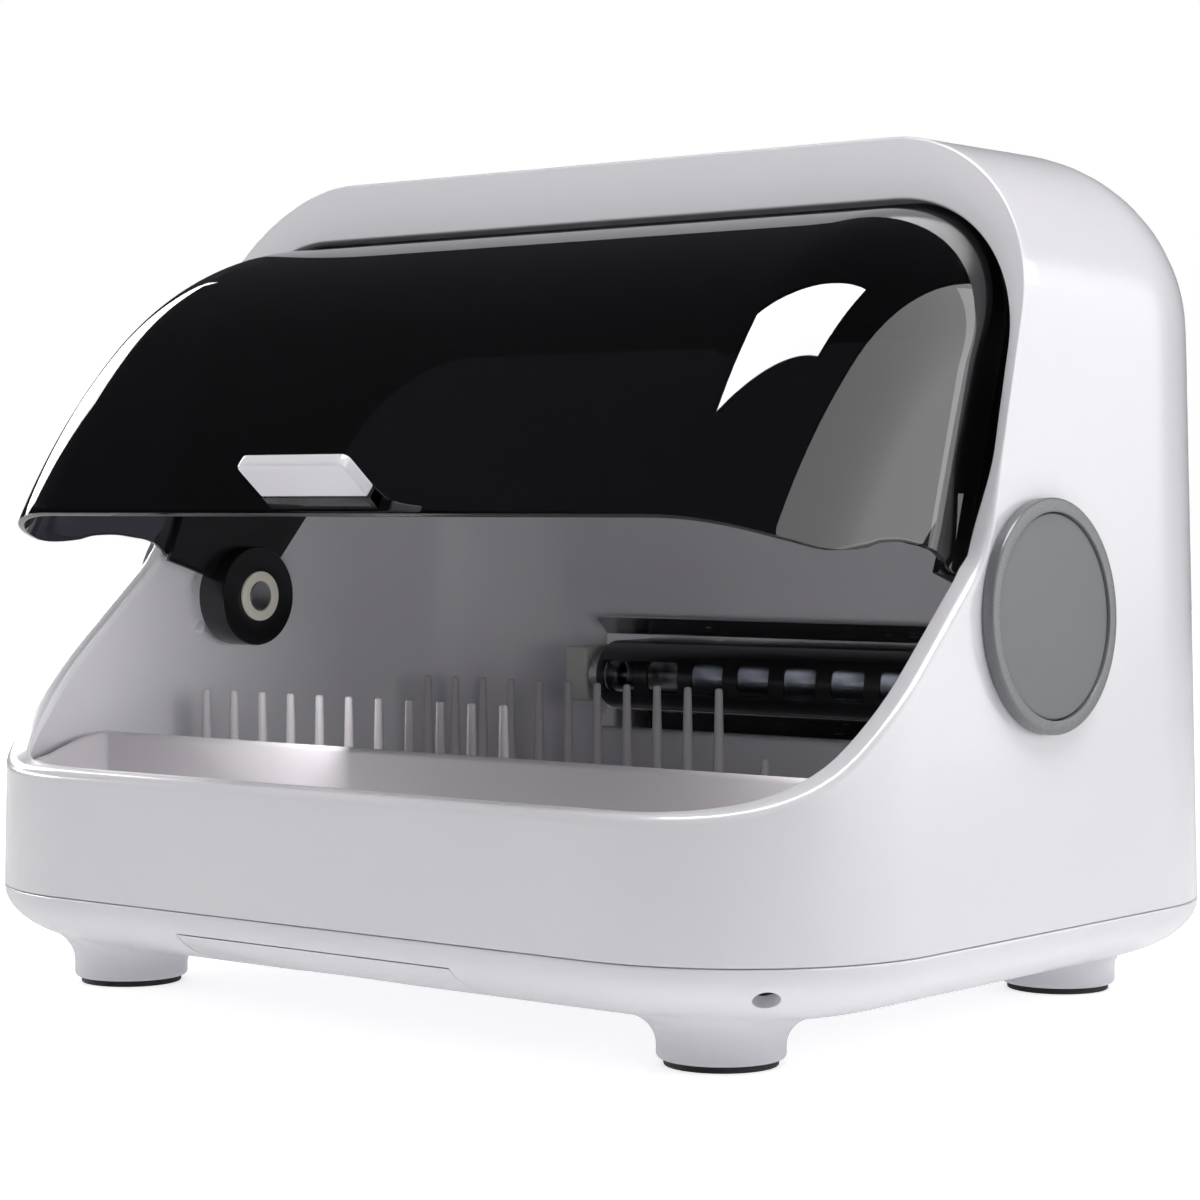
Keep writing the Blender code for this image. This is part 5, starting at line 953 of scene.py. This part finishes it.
def wallMiddle(rise):  # at the middle of the lower edge
    angle = radians(lid["wingAngles"][-1]) + rise / lid["radius"]
    middle = grown(angle, lid["radius"]) - lid["wall"] / 2
    return Vector((0, -middle * cos(angle), middle * sin(angle)))


# The tab under the grip: a bar on the window's edge, with a thinner tongue in front
tab = {
    "angle": radians(39.6), "rise": 1.1, "half": 26.2, "tongueHalf": 22.5, "tongue": 14.5, "low": 7.6,
    "length": 17.5, "thickness": 5.3, "corner": 3, "root": 1.2, "bevel": 0.9, "gap": 0.3,
}
tabAlong = Vector((0, -cos(tab["angle"]), sin(tab["angle"])))
tabUp = Vector((0, sin(tab["angle"]), cos(tab["angle"])))


def tabOutline(low, high, start, end):
    root = wallMiddle(tab["rise"])
    corners = ((start, low), (end, low), (end, high), (start, high))
    return [tuple((root + tabAlong * along + tabUp * up).yz) for along, up in corners]


sheetEdges = softEdges(lid["edge"], 3)
thick = ("SOLIDIFY", {"thickness": lid["wall"] * mm, "offset": -1.0, "use_even_offset": True})
bar = tabOutline(0, tab["thickness"], 0, tab["low"] - tab["gap"])
bar[-1] = tuple(wallMiddle(tab["rise"] + tab["thickness"]).yz)
inset = (tab["thickness"] - lid["wall"]) / 2
tongue = tabOutline(inset, inset + lid["wall"], tab["low"] - 1.3, tab["low"] + tab["tongue"])
window = drumSheet(
    drumStations(lid["half"], lid["radius"], lid["corner"], lid["tip"]), wingAngle,
    lambda r: planeAngle(r, lid["rearOffset"]), lid["lipRise"],
)
window = finished(window, [
    thick, sheetEdges, boolean("UNION", prism(bar, tab["half"], 0.5)),
    boolean("UNION", prism(tongue, tab["tongueHalf"], 0.3)),
])
addPiece("lidWindow", placed(window, lidAt), "lid", smokePolycarbonate, "smoke_window", "lid_window")

# Carrier: the rear half of the drum with a hub at each end. Its black is partly the part's own colour and partly
# painted shade for the dark gap between the hood and the window
hub = {"radius": 21, "bore": 8.4, "inner": 180.562, "outer": 195.062}
inner = lid["wall"] + lid["gap"]
carrier = drumSheet(
    drumStations(lid["half"] - inner, lid["radius"] - inner, lid["corner"] - lid["wall"], lid["carrierInner"]),
    lambda r: planeAngle(r, lid["rearOffset"] - lid["overlap"]), lambda r: lid["carrierRear"], 0.0,
)
changes = [thick, sheetEdges]
for toSide in toX.values():
    disc = turned([
        (hub["bore"], hub["inner"], 0.4), (hub["radius"], hub["inner"], 1),
        (hub["radius"], hub["outer"], 0.6), (hub["bore"], hub["outer"], 0.4),
    ])
    changes.append(boolean("UNION", placed(disc, (0, boss["y"] - lid["y"], boss["z"] - lid["z"]), toSide)))
carrier = placed(finished(carrier, changes), lidAt)
# the carrier's black finish also paints the shade seen in the gap behind the window
addPiece("lidCarrier", carrier, "lid", blackAbsAndPaintedShade, "dark_carrier", "lid_carrier")

# Grip: a white cap over the tab's tongue
gripOutline = roundedRectangle(tab["half"], 0, tab["length"], tab["root"], tab["corner"], 10)
gripAt = wallMiddle(tab["rise"]) + tabAlong * tab["low"] + tabUp * tab["thickness"] / 2
gripTurn = Matrix((Vector((1, 0, 0)), tabAlong, -tabUp)).transposed()
grip = placed(plate([gripOutline], tab["thickness"], tab["bevel"]), gripAt, gripTurn)
pocket = tabOutline(
    inset - tab["gap"], inset + lid["wall"] + tab["gap"], tab["low"] - 2, tab["low"] + tab["tongue"] + tab["gap"],
)
grip = finished(grip, [boolean("DIFFERENCE", prism(pocket, tab["tongueHalf"] + tab["gap"]))])
addPiece("lidGrip", placed(grip, lidAt), "lid", whiteAbs, "white_abs", "lid_grip")
print("lid placed")

# Hinges: pin, bush, washer, and the grey ring and disc that cover the pin on the side wall
hinge = {
    "pin": 6, "head": 12, "headThickness": 1.2, "bush": 8.1, "bore": 6.3, "flange": 10.5, "flangeThickness": 1.2,
    "washer": 14, "washerOuter": 196.862, "washerThickness": 1.5, "ring": 41.1, "ringWidth": 5,
    "ringHeight": 4.8, "cap": 3.8, "gap": 0.3, "edge": 0.3,
}
gap, edge = hinge["gap"], hinge["edge"]
headLow = faceX + hinge["head"] * shell["draft"] + gap
headHigh = headLow + hinge["headThickness"]
flange = hub["inner"] - gap
flangeFace = flange - hinge["flangeThickness"]  # the pin ends flush with it
washerHigh = hinge["washerOuter"]
washerLow = washerHigh - hinge["washerThickness"]
ringInner = hinge["ring"] - hinge["ringWidth"]
rim, hollow = ringInner - gap, hinge["head"] + 2 * gap
room = hinge["headThickness"] + 2 * (hinge["head"] * shell["draft"] + gap) + gap
for side, sign in sides:
    toSide = toX[side]
    pin = turned([
        (0, headHigh), (hinge["head"], headHigh, edge), (hinge["head"], headLow), (hinge["pin"], headLow),
        (hinge["pin"], flangeFace, 0.5), (0, flangeFace),
    ])
    pin = placed(pin, pivot, toSide)
    addPiece("hingePin_" + side, pin, "cabinet", turnedSteel, "steel", "hinge_pin_" + side)
    bush = turned([
        (hinge["bush"], hub["outer"]), (hinge["bush"], flange), (hinge["flange"], flange),
        (hinge["flange"], flangeFace, edge), (hinge["bore"], flangeFace, edge), (hinge["bore"], hub["outer"]),
    ])
    bush = placed(bush, pivot, toSide)
    addPiece("hingeBush_" + side, bush, "lid", naturalAcetal, "acetal", "hinge_bush_" + side)
    washer = turned([
        (hinge["bore"], washerLow), (hinge["washer"], washerLow, edge), (hinge["washer"], washerHigh, edge),
        (hinge["bore"], washerHigh),
    ])
    washer = placed(washer, pivot, toSide)
    addPiece("frictionWasher_" + side, washer, "cabinet", blackRubber, "rubber", "friction_washer_" + side)
    # ring and disc sit square to the drafted wall
    seat, tilt = (sign * faceX, boss["y"], boss["z"]), Matrix.Rotation(sign * (pi / 2 - draftAngle), 3, "Y")
    ring = turned([
        (ringInner, gap), (hinge["ring"] - edge, gap), (hinge["ring"], gap + edge),
        (hinge["ring"], hinge["ringHeight"], 1.2), (ringInner, hinge["ringHeight"], 0.5),
    ], 192, 4)
    ring = placed(ring, seat, tilt)
    addPiece("hingeRing_" + side, ring, "cabinet", satinGreyAbs, "ring_grey", "hinge_ring_" + side)
    cap = turned([
        (0, hinge["cap"]), (rim, hinge["cap"], 0.8), (rim, gap), (hollow, gap), (hollow, room), (0, room),
    ], 192, 4)
    cap = placed(cap, seat, tilt)
    addPiece("hingeCap_" + side, cap, "cabinet", etchedGreyAbs, "grey_disc", "hinge_cap_" + side)
print("hinges placed")

# Lamp: a quartz tube in end caps with contact pins
lamp = {
    "y": 296, "z": 112, "half": 106, "radius": 8, "bore": 7, "end": 3, "capRadius": 8.9, "capLength": 9,
    "contactRadius": 1.2, "contactLength": 6, "contactY": 2.5, "gap": 0.3, "wall": 0.6,
}
lampAt = (0, lamp["y"], lamp["z"])


def rod(radius, half):
    return turned([(0, half), (radius, half, 2), (radius, -half, 2), (0, -half)], arc=5)


tube = finished(rod(lamp["radius"], lamp["half"]), [
    boolean("DIFFERENCE", rod(lamp["bore"], lamp["half"] - lamp["end"])),
])
addPiece("uvTube", placed(tube, lampAt, toX["right"]), "cabinet", drawnQuartz, "quartz", "uv_tube")
closed = lamp["half"] + lamp["gap"]
capEnd = closed + lamp["wall"]
capStart, capBore = closed - lamp["capLength"], lamp["radius"] + lamp["gap"]
contact, contactEnd, contactRoot = lamp["contactRadius"], capEnd + lamp["contactLength"], capEnd - 0.3
for side, toSide in toX.items():
    parts = [turned([
        (0, capEnd), (lamp["capRadius"], capEnd, 0.5), (lamp["capRadius"], capStart), (capBore, capStart),
        (capBore, closed), (0, closed),
    ], 48)]
    for offset in (-lamp["contactY"], lamp["contactY"]):
        pin = turned([(0, contactEnd), (contact, contactEnd, 0.5), (contact, contactRoot), (0, contactRoot)], 20)
        parts.append(placed(pin, (0, offset, 0)))
    cap = placed(joined(parts), lampAt, toSide)
    addPiece("lampCap_" + side, cap, "cabinet", drawnAluminium, "aluminium", "lamp_cap_" + side)

# Guard: a bent sheet round the front of the tube, with slots between its slats
guard = {
    "radius": 13.5, "sheet": 1.4, "slots": 8, "share": 0.7, "behind": 1.7, "endGap": 0.9, "edge": 0.25,
    "slotEdge": 2.5,
}


def guardLine(radius):  # from the back wall round the tube and back
    wallY = shell["depth"] - shell["wall"] - guard["behind"]
    bow = [
        (lamp["y"] + radius * cos(a), lamp["z"] + radius * sin(a)) for a in np.linspace(pi / 2, 3 * pi / 2, 33)
    ]
    return [(wallY, lamp["z"] + radius), *bow, (wallY, lamp["z"] - radius)]


outer = guard["radius"] + guard["sheet"]
guardHalf = capEnd + lamp["gap"] - lamp["capLength"] - guard["endGap"]
guardMesh = prism(guardLine(guard["radius"]) + guardLine(outer)[::-1], guardHalf, guard["edge"])
pitch = 2 * guardHalf / guard["slots"]
slots = []
for i in range(guard["slots"]):
    x, wide, high = -guardHalf + pitch * (i + 0.5), pitch * guard["share"] / 2, guard["radius"] / 2
    slots.append(block(
        (x - wide, lamp["y"] - outer - overrun, lamp["z"] - high), (x + wide, lamp["y"], lamp["z"] + high),
        guard["slotEdge"],
    ))
guardMesh = finished(guardMesh, [boolean("DIFFERENCE", joined(slots))])
addPiece("lampGuard", guardMesh, "cabinet", blackAbsAndPaintedShade, "dark_carrier", "lamp_guard")
print("lamp placed")

# Rear fittings: power inlet, and a push button in a turned bezel
toRear = Matrix.Rotation(-pi / 2, 3, "X")
inletAt, buttonAt = ((x, shell["depth"], pan["fittingZ"]) for x in (-pan["fittingX"], pan["fittingX"]))
inlet = placed(turned([
    (0, 0.3), (1, 0.3, 0.4), (1, -9.5), (3, -9.5), (3, 1.8, 0.4), (7.8, 1.8, 0.6), (7.8, 0.3), (5.5, 0.3),
    (5.5, -14, 0.4), (0, -14),
]), inletAt, toRear)
addPiece("powerInlet", inlet, "cabinet", blackNylon, "black_nylon", "power_inlet")
bezel = placed(turned([
    (8.5, 1.5, 0.7), (8.5, 0.3), (6.8, 0.3), (6.8, -3), (5.8, -3), (5.8, 1.5, 0.4),
]), buttonAt, toRear)
addPiece("buttonBezel", bezel, "cabinet", turnedSteel, "steel", "button_bezel")
buttonEnd = 2 - innerInset
button = placed(turned([
    (0, 2.5), (3.2, 2.5, 0.8), (4.3, 2.8, 0.4), (5.5, 2.8, 0.8), (5.5, buttonEnd, 0.3), (0, buttonEnd),
]), buttonAt, toRear)
addPiece("powerButton", button, "button", whiteAbs, "white_abs", "power_button")

# The pieces that keep their frame meshes get their finishes
for name, finish in (
    ("lamp_reflector", brightAluminium), ("lamp_holder_left", whiteNylon), ("lamp_holder_right", whiteNylon),
    ("driver_box", whiteNylon), ("interlock_switch", blackNylon), ("button_switch", blackNylon),
):
    for slot in bpy.data.objects[name].material_slots:
        slot.material = finish
print("rear fittings placed")


# Floor: a white sheet that glows for the camera alone, so it stays white but keeps the shadow.
# Other rays meet a weak even glow. Sizes are in metres, but for the paper's fibre in mm
sweep = {"half": 4.0, "fibre": 3, "lit": 0.24, "near": 0.25, "far": 0.9, "glowNear": 0.62, "glowFar": 1.0}
paper, tree, place = newMaterial("whitePaperSweep")
path = addNode(tree, "LightPath")
fibres = addNode(tree, "TexNoise", {"Vector": place, "Scale": 1 / (sweep["fibre"] * mm), "Detail": 3.0})
tooth = addNode(tree, "Bump", {"Height": fibres, "Strength": 0.4, "Distance": 0.01 * mm})
matt = addNode(tree, "BsdfDiffuse", {"Color": linear("#F2F2F2"), "Normal": tooth})
distance = addNode(tree, "VectorMath", {0: place}, operation="LENGTH").outputs["Value"]
reach = addNode(tree, "MapRange", {
    "Value": distance, "From Min": sweep["near"], "From Max": sweep["far"],
    "To Min": sweep["glowNear"], "To Max": sweep["glowFar"],
})
glow = addNode(tree, "Mix", {
    "Factor": path.outputs["Is Camera Ray"], "A": sweep["lit"], "B": reach,
}, data_type="FLOAT")
light = addNode(tree, "Emission", {"Color": linear("#FFFFFF"), "Strength": glow})
addNode(tree, "OutputMaterial", {"Surface": addNode(tree, "AddShader", {0: matt, 1: light})})
shape = bmesh.new()
bmesh.ops.create_grid(shape, x_segments=24, y_segments=24, size=sweep["half"])
floorMesh = cleaned(shape, 1)
floorMesh.materials.append(paper)
floor = newObject("floor", floorMesh)
floor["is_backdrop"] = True

# Surroundings: white for the camera and through glass, grey for diffuse light, dimmer in reflections
surroundings = {"diffuse": 0.15, "glossy": 0.03, "seen": 1.0}
world = bpy.data.worlds.new("studio")
bpy.context.scene.world = world
tree = blankTree(world)
path = addNode(tree, "LightPath")
mirrored = addNode(tree, "MapRange", {
    "Value": path.outputs["Is Glossy Ray"], "To Min": surroundings["diffuse"], "To Max": surroundings["glossy"],
})
through = addNode(tree, "Math", {
    0: path.outputs["Is Camera Ray"], 1: path.outputs["Is Transmission Ray"],
}, operation="MAXIMUM")
strength = addNode(tree, "MapRange", {"Value": through, "To Min": mirrored, "To Max": surroundings["seen"]})
sky = addNode(tree, "Background", {"Color": linear("#FFFFFF"), "Strength": strength})
addNode(tree, "OutputWorld", {"Surface": sky})


# Area lamp in metres and watts: shows is for reflections, lights for the surfaces it falls on
def softbox(name, at, aim, size, watts, shows=True, lights=True, shape="RECTANGLE"):
    lampData = bpy.data.lights.new(name, "AREA")
    lampData.shape = shape
    lampData.size, lampData.size_y = size
    lampData.energy = watts
    made = newObject(name, lampData)
    made.location = at
    made.rotation_euler = (Vector(aim) - Vector(at)).to_track_quat("-Z", "Y").to_euler()
    made.visible_camera = made.visible_transmission = False
    made.visible_glossy, made.visible_diffuse = shows, lights
    return made


# Two key lamps behind the shoulders, and two cards that the lid mirrors: in its wing and along its left rim
softbox("keyRight", (1.26, 0.98, 0.55), (0.05, 0.0, 0.15), (1.6, 1.0), 4.6, shows=False)
softbox("keyLeft", (-1.38, 0.58, 0.39), (0.0, 0.0, 0.15), (1.3, 0.68), 6.0, shows=False)
softbox("wingCard", (1.50, 0.55, 0.55), (0.19, -0.06, 0.2), (2.6, 1.9), 27.0, lights=False, shape="ELLIPSE")
softbox("rimCard", (-1.455, 0.30, 0.76), (-0.15, -0.10, 0.22), (0.72, 0.65), 9.1, lights=False)
# Fills that light without showing in the lid
softbox("fillLeft", (-0.80, -0.48, 0.32), (-0.16, -0.16, 0.08), (0.4, 0.5), 1.1, shows=False)
softbox("fillRight", (1.30, 0.20, 0.70), (0.05, 0.0, 0.15), (0.7, 0.8), 0.8, shows=False)
softbox("fillBand", (0.05, -0.40, 0.76), (0.05, 0.0, 0.30), (0.7, 0.3), 1.7, shows=False)
softbox("fillTop", (0.66, 0.05, 1.28), (0.10, 0.0, 0.25), (0.8, 0.7), 10.0, shows=False)
softbox("fillCavity", (0.165, -0.05, 0.13), (-0.15, -0.07, 0.10), (0.14, 0.07), 0.115, shows=False)
softbox("fillEnd", (-0.06, -0.092, 0.125), (-0.205, -0.125, 0.088), (0.05, 0.04), 0.08, shows=False)
softbox("fillTrough", (-0.08, -0.150, 0.130), (-0.08, -0.10, 0.075), (0.26, 0.025), 0.022, shows=False)
# An overhead window and a low strip only show in the gloss: a patch on the lid, and a line along edges
softbox("window", (0.20, -0.17, 1.30), (0.17, -0.10, 0.24), (0.95, 0.46), 24.0, lights=False)
softbox("edgeStrip", (-1.42, -0.50, 0.30), (-0.10, -0.16, 0.18), (1.1, 0.14), 12.0, lights=False)
# A narrow card along the hood's right edge carries the wing's reflection to its rear lip
card = {"x": 202.5, "z": 212, "gap": 2, "width": 16, "length": 130}
edgeCard = softbox(
    "edgeCard", (0, 0, 0), (0, 0, -1), (card["width"] * mm, card["length"] * mm), 0.010, lights=False,
)
lean, inX = Vector((0, shell["frameLean"], 1)).normalized(), Vector((1, 0, 0))
edgeCard.matrix_world = Matrix((inX.cross(-lean), lean, inX)).transposed().to_4x4()
edgeCard.matrix_world.translation = (
    card["x"] * mm, frontY + (frameY(card["z"]) + card["gap"]) * mm, card["z"] * mm,
)
print("lights placed")

# Camera: a medium telephoto from the front right, a little above the middle of the body
view = {"lens": 93.525, "at": (0.7726, -0.932832, 0.1864), "azimuth": radians(39.423), "pitch": radians(1.7318)}
cameraData = bpy.data.cameras.new("camera")
cameraData.lens = view["lens"]
cameraData.sensor_width = 36.0
cameraData.clip_start, cameraData.clip_end = 0.05, 20.0
camera = newObject("camera", cameraData)
a, e = view["azimuth"], view["pitch"]
forward = Vector((-sin(a) * cos(e), cos(a) * cos(e), -sin(e)))
across = Vector((cos(a), sin(a), 0))
facing = Matrix((across, across.cross(forward), -forward)).transposed().to_4x4()
camera.matrix_world = Matrix.Translation(view["at"]) @ facing
bpy.context.scene.camera = camera
bpy.context.scene.view_settings.view_transform = "Standard"
bpy.context.scene.view_settings.look = "None"

low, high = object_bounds()
